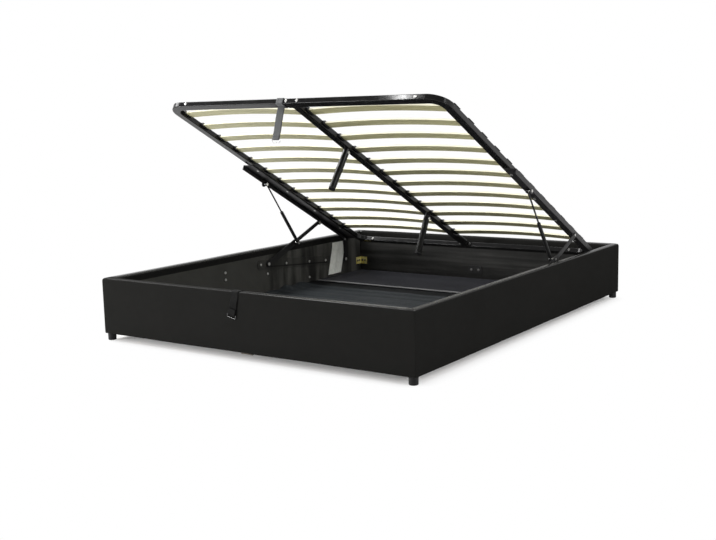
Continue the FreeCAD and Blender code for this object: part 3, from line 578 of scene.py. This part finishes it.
def panelProfile():
    size = panelSize
    thick, low, top = size["thickness"], size["bottom"], size["top"]
    big, small = size["topRadius"], size["lowRadius"]
    hemLevel = low - size["hemDrop"]
    # each point is its depth, its height and the two parts of its outward way
    line = [(size["hem"], hemLevel, 0.0, -1.0), (small * 2, hemLevel, 0.0, -1.0)]

    def bend(centre, radius, start, end, count):
        for turn in turns(start, end, count):
            line.append((centre[0] + radius * math.cos(turn), centre[1] + radius * math.sin(turn),
                         math.cos(turn), math.sin(turn)))

    def climb(depth, start, end, outward):
        count = max(1, round(abs(end - start) / size["step"]))
        for step in range(1, count):
            line.append((depth, start + (end - start) * step / count, outward, 0.0))

    bend((small, low + small), small, 270, 180, 3)
    climb(0.0, low + small, top - big, -1.0)
    bend((big, top - big), big, 180, 90, 6)
    bend((thick - big, top - big), big, 90, 0, 6)
    climb(thick, top - big, low, 1.0)
    line.append((thick, low + size["liningRaise"], 1.0, 0.0))
    return line


# Folds of the linings, as edges along and up the panel, depths and waves
foldSize = {
    "low": (0.036, 0.075), "high": (0.262, 0.242), "headDepth": 0.0048, "headEnds": (0.73, 0.66),
    "besidePlate": (0.05, 0.10), "abovePlate": (0.125, 0.155), "headTurns": 190.0, "headSlant": 1.5,
    "headStray": 2.4, "headStrayWave": (2.3, 6.0, 4.0), "headSwellWave": (1.2, 9.0, 9.0),
    "sideDepth": 0.0062, "sideFront": (0.055, 0.12), "sideRear": (0.945, 0.90), "sideTurns": 62.0,
    "lean": 0.35, "leanFrom": 0.16, "sideStray": 3.2, "sideStrayWave": (5.0, 3.0, 2.0),
    "creaseWave": (24.0, 15.0, 7.0), "patches": (-0.35, 0.25), "patchWave": (4.0, 4.0, 5.0),
    "plateFront": (0.040, 0.205), "plateRear": (0.8277, 0.1362), "plateEdge": (0.027, 0.042),
    "lowBolts": ((0.100, 0.148), (0.475, 0.075)), "boltEdge": (0.010, 0.026)
}


def plateClear(y, z):
    # no fold under the base plate and round the bolts below it
    size, spot = foldSize, Vector((y, z))
    front, rear = Vector(size["plateFront"]), Vector(size["plateRear"])
    run = rear - front
    share = min(1.0, max(0.0, (spot - front).dot(run) / run.length_squared))
    clear = smooth(*size["plateEdge"], (spot - front - run * share).length)
    for boltY, boltZ in size["lowBolts"]:
        clear *= smooth(*size["boltEdge"], math.hypot(y - boltY, z - boltZ))
    return clear


def liningFold(name, along, z):
    size = foldSize
    reach = smooth(*size["low"], z) * smooth(*size["high"], z)
    if name == "head":  # level ripples beside and above the plate in the middle
        middle = abs(along)
        beside = max(smooth(*size["besidePlate"], middle), smooth(*size["abovePlate"], z))
        clear = smooth(*size["headEnds"], middle) * beside
        stray = ripple(along, z, size["headStrayWave"]) * size["headStray"]
        wave = 0.5 + 0.5 * math.sin(z * size["headTurns"] + stray + along * size["headSlant"])
        swell = 0.55 + 0.45 * ripple(along, z, size["headSwellWave"])
        return size["headDepth"] * reach * clear * wave * swell
    if name in ("left", "right"):  # upright folds
        y = -along if name == "left" else along
        clear = smooth(*size["sideFront"], y) * smooth(*size["sideRear"], y) * plateClear(y, z)
        lean = (z - size["leanFrom"]) * size["lean"]
        stray = size["sideStray"] * ripple(y, z, size["sideStrayWave"])
        fold = 0.5 + 0.5 * math.sin((y + lean) * size["sideTurns"] + stray)
        crease = 0.5 + 0.5 * ripple(y, z, size["creaseWave"])
        patch = smooth(*size["patches"], ripple(y, z, size["patchWave"]))
        return size["sideDepth"] * reach * clear * (0.65 * fold + 0.35 * crease) * patch
    return 0.0


def buildPanel(name, halfRun, turn):
    size = panelSize
    profile = panelProfile()
    seam = size["seamRadius"]
    ends = [seam * share for share in size["seamShares"]]
    count = round(2 * halfRun / size["step"])
    stations = [("low", gap) for gap in ends]
    stations += [("share", -1.0 + 2.0 * step / count) for step in range(1, count)]
    stations += [("high", gap) for gap in reversed(ends)]
    spin = Matrix.Rotation(math.radians(turn), 3, "Z")
    outer = size["halfLength"] if name in ("foot", "head") else size["halfWidth"]
    points = []
    for kind, value in stations:
        for depth, z, outDepth, outZ in profile:
            reach = halfRun - depth
            straight = reach - ends[-1] * size["seamClear"]
            gap = value if kind != "share" else reach - abs(value) * straight
            tuck = seam - math.sqrt(max(0.0, seam ** 2 - (seam - gap) ** 2)) if gap < seam else 0.0
            push = -tuck
            inner = outDepth > 0.5
            closed = reach - gap + tuck * max(0.0, outDepth)  # inside, the two linings meet on the mitre
            along = value * straight if kind == "share" else (-closed if kind == "low" else closed)
            if gap >= seam:
                seed = turn * size["turnSeed"] + (size["innerSeed"] if inner else 0.0)
                loose = smooth(seam, size["sagReach"], gap)
                push += size["sag"] * loose * ripple(along, z, (*size["sagWave"], seed))
                if inner:
                    push += liningFold(name, along, z)
            place = Vector((along, depth + outDepth * push - outer, z + outZ * push))
            points.append(spin @ place)
    faces = gridFaces(len(stations), len(profile))
    slots = []
    for face in faces:
        _, z, outDepth, _ = profile[face[0] % len(profile)]
        slots.append(1 if outDepth > 0.5 and z < size["top"] - size["wrap"] else 0)
    faces = [tuple(reversed(face)) for face in faces]
    inside = headLining if name == "head" else lining
    piece = makePiece(name + "_upholstery", points, faces, [leather, inside], "bed_box", None, slots)
    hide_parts(name + "_panel_cover")


for name, halfRun, turn in (("foot", panelSize["halfWidth"], 0), ("right", panelSize["halfLength"], 90),
                            ("head", panelSize["halfWidth"], 180), ("left", panelSize["halfLength"], 270)):
    buildPanel(name, halfRun, turn)
print("panels upholstered")


# Storage floor: a loose cloth in front and a stiffer felt mat behind it with a bound edge.
# A crest of the cloth is (place along the floor, height, width).
clothSize = {
    "halfWidth": 0.797, "front": -0.997, "rear": 0.604, "base": 0.0394, "step": 0.011, "lowest": -0.0004,
    "crests": ((-0.88, 0.0030, 0.040), (-0.70, 0.0040, 0.050), (-0.53, 0.0032, 0.040),
               (-0.36, 0.0050, 0.050), (-0.20, 0.0040, 0.036), (-0.06, 0.0060, 0.042),
               (0.08, 0.0042, 0.034), (0.20, 0.0062, 0.040), (0.32, 0.0050, 0.030), (0.42, 0.0060, 0.030)),
    "stray": 0.045, "strayWave": (1.7, 3.1, 0.0), "slant": 0.03, "slantWave": (1.3, 0.5, 0.0),
    "strengthWave": (1.3, 2.2, 6.0), "fine": 0.0016, "fineWave": (5.0, 22.0, 1.0), "sideFrom": 0.70,
    "gather": 0.020, "gatherAt": 0.30, "gatherReach": 0.20, "gatherTurns": (46.0, 20.0),
    "gatherRight": 0.35, "sideRise": 0.004, "sideWave": (7.0, 1.0, 3.0), "underMat": (0.584, 0.530),
    "pads": (-0.372, 0.478), "padEdge": (0.027, 0.108)
}


def clothHeight(x, y):
    size = clothSize
    rise = 0.0
    for number, (centre, height, width) in enumerate(size["crests"]):
        bend = centre + size["stray"] * ripple(x, number, size["strayWave"])
        bend += size["slant"] * x * ripple(number, 1.0, size["slantWave"])
        strength = 0.6 + 0.6 * ripple(x, number, size["strengthWave"])
        rise += height * strength * math.exp(-((y - bend) / width) ** 2)
    rise += size["fine"] * ripple(x, y, size["fineWave"])
    side = smooth(size["sideFrom"], size["halfWidth"], abs(x))
    turnsY, turnsX = size["gatherTurns"]
    bunch = math.exp(-((y - size["gatherAt"]) / size["gatherReach"]) ** 2)
    bunch *= 0.75 + 0.35 * math.sin(y * turnsY + x * turnsX)
    rise += (size["gather"] * side * (bunch if x < 0 else size["gatherRight"] * bunch)
             + size["sideRise"] * side * (0.6 + ripple(y, x, size["sideWave"])))
    rise = max(size["lowest"], rise) * smooth(*size["underMat"], y)
    for pad in size["pads"]:
        rise *= smooth(*size["padEdge"], math.hypot(x, y - pad)) * 0.9 + 0.1
    return size["base"] + rise


def acrossFloor(size):
    steps = round(2 * size["halfWidth"] / size["step"])
    return [size["halfWidth"] * (2.0 * step / steps - 1.0) for step in range(steps + 1)]


def buildCloth():
    size = clothSize
    across = acrossFloor(size)
    rows = round((size["rear"] - size["front"]) / size["step"]) + 1
    points = []
    for row in range(rows):
        y = size["front"] + (size["rear"] - size["front"]) * row / (rows - 1)
        points += [(x, y, clothHeight(x, y)) for x in across]
    piece = makePiece("floor_cloth", points, gridFaces(rows, len(across)), [floorCloth], "bed_box")


matSize = {
    "halfWidth": 0.7975, "front": 0.550, "rear": 0.9975, "top": 0.0475, "low": 0.0402, "radius": 0.0030,
    "step": 0.016, "tuck": 0.006, "roll": (240, 90), "rollSteps": 6, "sway": 0.004,
    "swayWave": (1.4, 0.3, 0.0), "swayFade": (0.74, 0.55), "lift": 0.0011, "liftWave": (2.6, 5.0, 8.0),
    "liftFade": (0.55, 0.61)
}


def buildMat():
    size = matSize
    radius = size["radius"]
    start = size["front"] + radius
    line = [(size["front"] + size["tuck"], size["low"])]
    for turn in turns(*size["roll"], size["rollSteps"]):
        line.append((start + radius * math.cos(turn), size["top"] - radius + radius * math.sin(turn)))
    boundRows = len(line)  # the binding covers the rolled front edge
    count = round((size["rear"] - size["front"] - radius) / size["step"])
    for step in range(1, count + 1):
        line.append((start + (size["rear"] - start) * step / count, size["top"]))
    across = acrossFloor(size)
    points = []
    for y, z in line:
        for x in across:
            sway = size["sway"] * ripple(x, 1.0, size["swayWave"]) * smooth(*size["swayFade"], y)
            lift = size["lift"] * ripple(x, y, size["liftWave"]) * smooth(*size["liftFade"], y)
            points.append((x, y + sway, z + lift))
    faces = gridFaces(len(line), len(across))
    bound = [1 if face[0] // len(across) < boundRows else 0 for face in faces]
    piece = makePiece("floor_mat", points, faces, [matFelt, binding], "bed_box", None, bound)


buildCloth()
buildMat()
print("floor cloth and mat laid")


# Straps: a flat ribbon with rounded edges along a line of points, each with its own width direction.
# Half of its outline is in shares of (half width across, half thickness across, half thickness up).
ribbonShares = ((-1.0, 1.0, 1.0), (-0.6, 0.0, 1.02), (-0.2, 0.0, 1.0), (0.2, 0.0, 1.0), (0.6, 0.0, 1.02),
                (1.0, -1.0, 1.0), (1.0, -0.3, 0.72), (1.0, 0.0, 0.0), (1.0, -0.3, -0.72))
sideways = Vector((1.0, 0.0, 0.0))


def ribbonRing(width, thick):
    half, edge = width / 2, thick / 2
    upper = [(half * wide + edge * inset, edge * high) for wide, inset, high in ribbonShares]
    return upper + [(-across, -up) for across, up in upper]


def buildRibbon(name, line, sides, width, thick, material, body):
    ring = ribbonRing(width, thick)
    points, uvs, run = [], [], 0.0
    for number, spot in enumerate(line):
        before, after = line[max(0, number - 1)], line[min(len(line) - 1, number + 1)]
        heading = (after - before).normalized()
        side = sides[number].normalized()
        out = side.cross(heading).normalized()
        if number:
            run += (spot - line[number - 1]).length
        for across, up in ring:
            points.append(spot + side * across + out * up)
            uvs.append((run, across))
    faces = [tuple(reversed(face)) for face in gridFaces(len(line), len(ring), True)]
    faces.append(tuple(range(len(ring))))
    faces.append(tuple(reversed(range((len(line) - 1) * len(ring), len(line) * len(ring)))))
    return makePiece(name, points, faces, [material], body, uvs)


def softLine(corners, step, rounds):
    # points at an even step along straight runs, with corners eased by averaging
    line = [Vector(corners[0])]
    for start, end in zip(corners, corners[1:]):
        run = Vector(end) - Vector(start)
        count = max(1, round(run.length / step))
        line += [Vector(start) + run * (number / count) for number in range(1, count + 1)]
    for turn in range(rounds):
        eased = [(a + b * 2 + c) / 4 for a, b, c in zip(line, line[1:], line[2:])]
        line = [line[0]] + eased + [line[-1]]
    return line


stitchSize = {
    "length": 0.0028, "radius": 0.0004, "raise": 0.0026, "corners": 6,
    "swells": ((-0.5, 0.25), (-0.32, 0.9), (0.0, 1.0), (0.32, 0.9), (0.5, 0.25))
}


def buildStitches(name, places, along, across, body):
    # short threads that lie on a strap's face, one small rounded bar each
    size = stitchSize
    corners, swells = size["corners"], size["swells"]
    points, faces = [], []
    for spot, out in places:
        base = len(points)
        centre = spot + out * size["raise"]
        for share, swell in swells:
            radius = size["radius"] * swell
            for corner in range(corners):
                turn = math.radians(360 / corners * corner)
                points.append(centre + along * (size["length"] * share) + across * (radius * math.cos(turn))
                              + out * (radius * math.sin(turn)))
        last = base + corners * (len(swells) - 1)
        faces += [tuple(base + place for place in face) for face in gridFaces(len(swells), corners, True)]
        faces.append(tuple(base + corner for corner in reversed(range(corners))))
        faces.append(tuple(last + corner for corner in range(corners)))
    return makePiece(name, points, faces, [stitchThread], body)


# head is the place of the frame's own origin, and tilt how far the raised frame leans
liftStrapSize = {
    "x": -0.064, "width": 0.038, "layer": 0.0024, "slip": 0.0004, "railFront": -1.780, "railDepth": 0.040,
    "railHalf": 0.0125, "tilt": 27.6, "head": (0.918118, 0.243988), "loopGap": 0.003, "loopStep": 0.0016,
    "loopRounds": 3, "tail": 0.1466, "tailSteps": 40, "tailLayer": 0.95, "hang": 19.0, "apart": 0.0013,
    "eyeDrop": 0.0028, "eyeRadius": 0.0034, "eyeTurn": (-10, 190), "eyeSteps": 14, "sway": 0.0016,
    "swayTurns": 38.0, "swayStart": (0.0, 0.04), "swayEnd": (0.146, 0.11), "twist": 0.012,
    "twistTurns": 0.05, "seams": (0.10, 0.40, 0.93), "seamWidth": 0.86, "seamStitches": 13
}


def onFrame(y, z):
    turn = math.radians(-liftStrapSize["tilt"])
    head = liftStrapSize["head"]
    return Vector((liftStrapSize["x"], head[0] + y * math.cos(turn) - z * math.sin(turn),
                   head[1] + y * math.sin(turn) + z * math.cos(turn)))


def buildLiftStrap():
    size = liftStrapSize
    off = size["slip"] + size["layer"] / 2
    low, high = size["railFront"] - off, size["railFront"] + size["railDepth"] + off
    rise = size["railHalf"] + off
    middle = (low + high) / 2
    corners = [(middle + size["loopGap"], -rise), (high, -rise), (high, rise), (low, rise), (low, -rise),
               (middle - size["loopGap"], -rise)]
    loop = softLine([onFrame(y, z) for y, z in corners], size["loopStep"], size["loopRounds"])
    around = buildRibbon("lift_strap_loop", loop, [sideways] * len(loop), size["width"], size["layer"],
                         webbing, "lift_frame")

    start = onFrame(middle, -rise)
    hang = math.radians(size["hang"])
    down = Vector((0.0, -math.sin(hang), -math.cos(hang)))
    thick = Vector((0.0, -math.cos(hang), math.sin(hang)))

    def run(side):
        steps = size["tailSteps"]
        return [start + thick * (side * size["apart"]) + down * (size["tail"] * step / steps)
                for step in range(steps - 1)]

    eye, radius = start + down * (size["tail"] + size["eyeDrop"]), size["eyeRadius"]
    bow = [eye + thick * (radius * math.cos(turn)) + down * (radius * math.sin(turn))
           for turn in turns(*size["eyeTurn"], size["eyeSteps"])]
    tail = run(1) + bow + run(-1)[::-1]
    for number, spot in enumerate(tail):
        fall = (spot - start).dot(down)
        free = smooth(*size["swayStart"], fall) * smooth(*size["swayEnd"], fall)
        tail[number] = spot + thick * (size["sway"] * math.sin(fall * size["swayTurns"]) * free)
    sides = [Vector((1.0, size["twist"] * math.sin(number * size["twistTurns"]), 0.0))
             for number in range(len(tail))]
    hanging = buildRibbon("lift_strap_tail", tail, sides, size["width"], size["layer"] * size["tailLayer"],
                          webbing, "lift_frame")

    seams = []
    for share in size["seams"]:
        for part in range(size["seamStitches"]):
            across = (part / (size["seamStitches"] - 1) - 0.5) * size["width"] * size["seamWidth"]
            seams.append((start + down * size["tail"] * share + Vector((across, 0.0, 0.0)), thick))
    stitches = buildStitches("lift_strap_stitches", seams, sideways, down, "lift_frame")
    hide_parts("lift_strap")


panelStrapSize = {
    "x": -0.034, "width": 0.038, "layer": 0.0024, "slip": 0.0006, "inner": 0.120, "turn": 0.020,
    "front": 0.076, "lean": 13.0, "step": 0.003, "bendSpare": 4, "bendSteps": 8, "frontSteps": 30,
    "bulge": 0.0022, "bulgeTurns": 1.2, "leanEase": 0.25, "eyeDrop": 0.0023, "eyeRadius": 0.0034,
    "eyeTurn": (20, -180), "eyeSteps": 12, "endSteps": 8, "endClose": 0.0002
}


def buildPanelStrap():
    size, box = panelStrapSize, panelSize
    off = size["slip"] + size["layer"] / 2
    front, back = -box["halfLength"] - off, box["thickness"] - box["halfLength"] + off
    radius = box["topRadius"] + off
    bendLevel = box["top"] + off - radius
    climbs = int(size["inner"] / size["step"]) - size["bendSpare"]
    innerEnd = box["top"] - size["inner"]
    line = [Vector((size["x"], back, innerEnd + size["step"] * step)) for step in range(climbs)]
    for centre, start in ((back - radius, 0), (front + radius, 90)):
        for turn in turns(start, start + 90, size["bendSteps"]):
            line.append(Vector((size["x"], centre + radius * math.cos(turn),
                                bendLevel + radius * math.sin(turn))))
    sides = [sideways] * len(line)

    # the front end eases from upright into its lean
    lean = math.radians(size["lean"])
    pivot = Vector((size["x"], front, box["top"] - size["turn"]))
    down = Vector((-math.sin(lean), 0.0, -math.cos(lean)))
    level = Vector((math.cos(lean), 0.0, -math.sin(lean)))
    for step in range(size["frontSteps"] + 1):
        share = step / size["frontSteps"]
        bulge = size["bulge"] * math.sin(math.pi * min(1.0, share * size["bulgeTurns"]))
        ease = smooth(0.0, size["leanEase"], share)
        straight = Vector((0.0, 0.0, -1.0)).lerp(down, ease)
        line.append(pivot + straight * (size["front"] * share) + Vector((0.0, -bulge, 0.0)))
        sides.append(sideways.lerp(level, ease))

    # then it turns up round the ring and ends in front of itself
    ringRadius, inward = size["eyeRadius"], Vector((0.0, 1.0, 0.0))
    eye = pivot + down * (size["front"] + size["eyeDrop"]) + Vector((0.0, -ringRadius, 0.0))
    for turn in turns(*size["eyeTurn"], size["eyeSteps"]):
        line.append(eye + inward * (ringRadius * math.cos(turn)) - down * (ringRadius * math.sin(turn)))
        sides.append(level)
    for step in range(1, size["endSteps"] + 1):
        close = size["endClose"] * step
        line.append(eye + Vector((0.0, close - ringRadius, 0.0)) - down * (size["step"] * step))
        sides.append(level)
    piece = buildRibbon("panel_strap_webbing", line, sides, size["width"], size["layer"],
                        blackStrap, "bed_box")
    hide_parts("panel_strap")


buildLiftStrap()
buildPanelStrap()
print("straps sewn")


# Leaflet: a thin blank sheet with soft folds and creases. A fold is (share of width, share of depth).
leafletSize = {
    "x": -0.7957, "front": 0.648, "width": 0.135, "bottom": 0.062, "height": 0.186, "lean": 0.055,
    "depth": 0.0050, "columns": 37, "rows": 49, "holdFrom": 0.8,
    "folds": ((0.0, 0.7), (0.16, 0.1), (0.38, 1.0), (0.6, 0.15), (0.78, 0.35), (1.0, 0.0)),
    "crumple": 0.0008, "crumpleWave": (7.0, 9.0, 3.0), "crease": 0.0004, "creaseWave": (19.0, 22.0, 5.0),
    "frontWaver": 0.0012, "frontWave": (9.0, 1.0, 0.0), "lowWaver": 0.002, "lowWave": (4.0, 3.0, 0.0),
    "waverReach": 0.2
}


def leafletPoint(along, up):
    size = leafletSize
    depth = 0.0
    for (start, low), (end, high) in zip(size["folds"], size["folds"][1:]):
        if start <= along <= end:
            depth = low + (high - low) * smooth(start, end, along)
    crumple = (size["crumple"] * abs(ripple(along, up, size["crumpleWave"]))
               + size["crease"] * abs(ripple(along, up, size["creaseWave"])))
    hold = smooth(1.0, size["holdFrom"], up) * 0.8 + 0.2
    waver = (size["frontWaver"] * ripple(up, 1.0, size["frontWave"]) * smooth(size["waverReach"], 0.0, along)
             + size["lowWaver"] * ripple(along, 1.0, size["lowWave"]) * smooth(size["waverReach"], 0.0, up))
    return (size["x"] + size["depth"] * depth * hold + crumple,
            size["front"] + along * size["width"] + size["lean"] * up + waver,
            size["bottom"] + size["height"] * up + waver)


def buildLeaflet():
    size = leafletSize
    columns, rows = size["columns"], size["rows"]
    points, uvs = [], []
    for row in range(rows):
        up = row / (rows - 1)
        for column in range(columns):
            along = column / (columns - 1)
            points.append(leafletPoint(along, up))
            uvs.append((along * size["width"], up * size["height"]))
    piece = makePiece("hanging_leaflet", points, gridFaces(rows, columns), [paleSheet], "bed_box", uvs)
    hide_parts("leaflet")


buildLeaflet()
print("leaflet hung")


# Finishes of the pieces that stay as they were built
def both(*names):
    return tuple(side + name for name in names for side in ("left_", "right_"))


finishes = {
    tubePaint: ("foot_rail", "head_rail", *both("side_rail"), "centre_beam", "beam_brackets",
                "front_centre_leg", "rear_centre_leg"),
    powderPaint: (*both("front_link", "rear_link", "strut_cylinder"), "head_panel_plate"),
    armPaint: both("lift_arm"),
    greyPlate: both("base_plate"),
    plastic: ("corner_feet", "centre_feet", "leg_pads"),
    capPlastic: (*both("slat_caps"), "centre_slat_caps"),
    birch: both("slats"),
    zinc: ("corner_bolts", "frame_bolts", *both("link_pins", "rear_link_pin")),
    paleZinc: ("panel_bolts", "base_plate_bolts", "base_pivot_rivets"),
    yellowZinc: ("corner_brackets",),
    rodChrome: both("strut_rod"),
    brightWire: ("lift_strap_ring",),
    dullWire: ("panel_strap_ring",),
    chipboard: ("foot_panel_board", "head_panel_board", *both("panel_board")),
    lining: tuple("floor_board_%d" % number for number in range(1, 6)),
    softwood: (*both("floor_batten"), "centre_floor_rail"),
}
for finish, names in finishes.items():
    for name in names:
        mesh = nodes[name].data
        mesh.materials.clear()
        mesh.materials.append(finish)
print("finishes set on", sum(len(names) for names in finishes.values()), "nodes")


# Studio: white floor and background, soft light from above, camera where the photograph was taken
studio = {
    "camera": (2.7903, -4.2192, 1.0179), "yaw": 34.6795, "pitch": 8.7517, "roll": -1.4089, "lens": 51.93,
    "sensor": 36.0, "clipEnd": 200.0, "floorReach": 30.0, "floorBounce": 0.86, "floorGlow": 0.14,
    "shadeInset": 0.09, "shadeReach": 0.16, "skyTop": 0.36, "skySide": 0.12, "skyHeights": (-0.05, 0.9),
    "skyBack": 0.4, "backAlong": (0.2, 0.8), "backHeights": (0.75, 0.15),
    "wallTop": (0.55, 0.75, 0.5, 0.9), "wallFade": 0.25
}
lamps = {
    "key_softbox": {"place": (-3.4, -0.4, 3.6), "aim": (0.0, 0.0, 0.3), "size": (3.0, 2.6), "power": 260.0},
    "top_softbox": {"place": (0.4, 1.0, 4.6), "aim": (0.0, 0.0, 0.3), "size": (3.4, 2.6), "power": 100.0},
    "front_softbox": {"place": (-3.6, -4.8, 0.95), "aim": (0.0, -0.8, 0.4), "size": (2.0, 1.1),
                      "power": 240.0},
    "front_lamp": {"place": (-0.38, -1.50, 2.32), "aim": (0.58, -0.66, 1.07), "size": (0.08, 0.08),
                   "power": 1.5},
    "side_softbox": {"place": (4.3, 0.1, 3.3), "aim": (-0.3, 0.1, 0.4), "size": (1.5, 1.1), "power": 30.0},
    "low_fill": {"place": (5.4, -0.6, 1.5), "aim": (-0.8, 0.4, 0.2), "size": (1.4, 0.9), "power": 72.0},
}


def buildCamera():
    yaw, pitch, roll = (math.radians(studio[key]) for key in ("yaw", "pitch", "roll"))
    ahead = Vector((-math.sin(yaw) * math.cos(pitch), math.cos(yaw) * math.cos(pitch), -math.sin(pitch)))
    right = Vector((math.cos(yaw), math.sin(yaw), 0.0))
    up = right.cross(ahead)
    level = right * math.cos(roll) + up * math.sin(roll)
    high = up * math.cos(roll) - right * math.sin(roll)
    data = bpy.data.cameras.new("photo_camera")
    data.sensor_fit = "HORIZONTAL"
    data.sensor_width = studio["sensor"]
    data.lens = studio["lens"]
    data.clip_end = studio["clipEnd"]
    camera = addObject("photo_camera", data)
    axes = Matrix((level, high, -ahead)).transposed().to_4x4()
    camera.matrix_world = Matrix.Translation(studio["camera"]) @ axes
    bpy.context.scene.camera = camera


def paintFloor(place, look):
    # the floor keeps the real shadow near the box and fades to white round it, from a little under the
    # panels; the low glow near the box also paints shade in a band round it
    seen = (place.rays("Camera") + place.rays("Glossy") + place.rays("Transmission")).between(0.0, 1.0)
    reach = place.node("ShaderNodeVectorMath", {"operation": "ABSOLUTE"}, {0: place})
    inset = look["shadeInset"]
    past = reach - (panelSize["halfWidth"] - inset, panelSize["halfLength"] - inset, 0.0)
    away = place.node("ShaderNodeVectorMath", {"operation": "MAXIMUM"}, {0: past, 1: 0.0}).length()
    fade = away.between(0.0, look["shadeReach"])
    glow = look["floorGlow"] + (1.0 - look["floorGlow"]) * fade
    bounce = look["floorBounce"] * (1.0 - seen * fade)
    return {"Base Color": bounce, "Roughness": 0.9, "Specular IOR Level": 0.0,
            "Emission Color": seen * glow, "Emission Strength": 1.0}


def buildFloor():
    reach = studio["floorReach"]
    corners = [(-reach, -reach, 0.0), (reach, -reach, 0.0), (reach, reach, 0.0), (-reach, reach, 0.0)]
    mesh = bpy.data.meshes.new("studio_floor")
    mesh.from_pydata(corners, [], [(0, 1, 2, 3)])
    mesh.materials.append(makeMaterial("studio_white", paintFloor, studio))
    floor = addObject("studio_floor", mesh)


def buildLamp(name, place, aim, size, power):
    data = bpy.data.lights.new(name, "AREA")
    data.shape = "RECTANGLE"
    data.size, data.size_y = size
    data.energy = power
    lamp = addObject(name, data)
    way = Vector(aim) - Vector(place)
    lamp.matrix_world = Matrix.Translation(place) @ way.to_track_quat("-Z", "Y").to_matrix().to_4x4()


def buildWorld():
    world = bpy.data.worlds.new("studio_air")
    bpy.context.scene.world = world
    world.use_nodes = True
    tree = world.node_tree
    tree.nodes.clear()
    output = tree.nodes.new("ShaderNodeOutputWorld")
    place = Shade(tree, tree.nodes.new("ShaderNodeTexCoord").outputs["Generated"])
    along, up = place.axis("Y"), place.axis("Z")
    mirrored = (place.rays("Glossy") + place.rays("Transmission")).between(0.0, 1.0)
    wallTop = along.between(*studio["wallTop"])  # the white wall behind stands higher than the sides
    seen = place.rays("Camera") + mirrored * up.between(wallTop, wallTop - studio["wallFade"])
    backdrop = along.between(*studio["backAlong"]) * up.between(*studio["backHeights"]) * studio["skyBack"]
    glow = up.between(*studio["skyHeights"], studio["skySide"], studio["skyTop"]) + backdrop
    strength = seen + (1.0 - seen) * glow
    sky = place.node("ShaderNodeBackground", None, {"Color": (1.0, 1.0, 1.0), "Strength": strength})
    tree.links.new(sky.socket, output.inputs["Surface"])


buildCamera()
buildFloor()
for name, lamp in lamps.items():
    buildLamp(name, **lamp)
buildWorld()
bpy.context.scene.view_settings.view_transform = "Standard"
print("studio set")
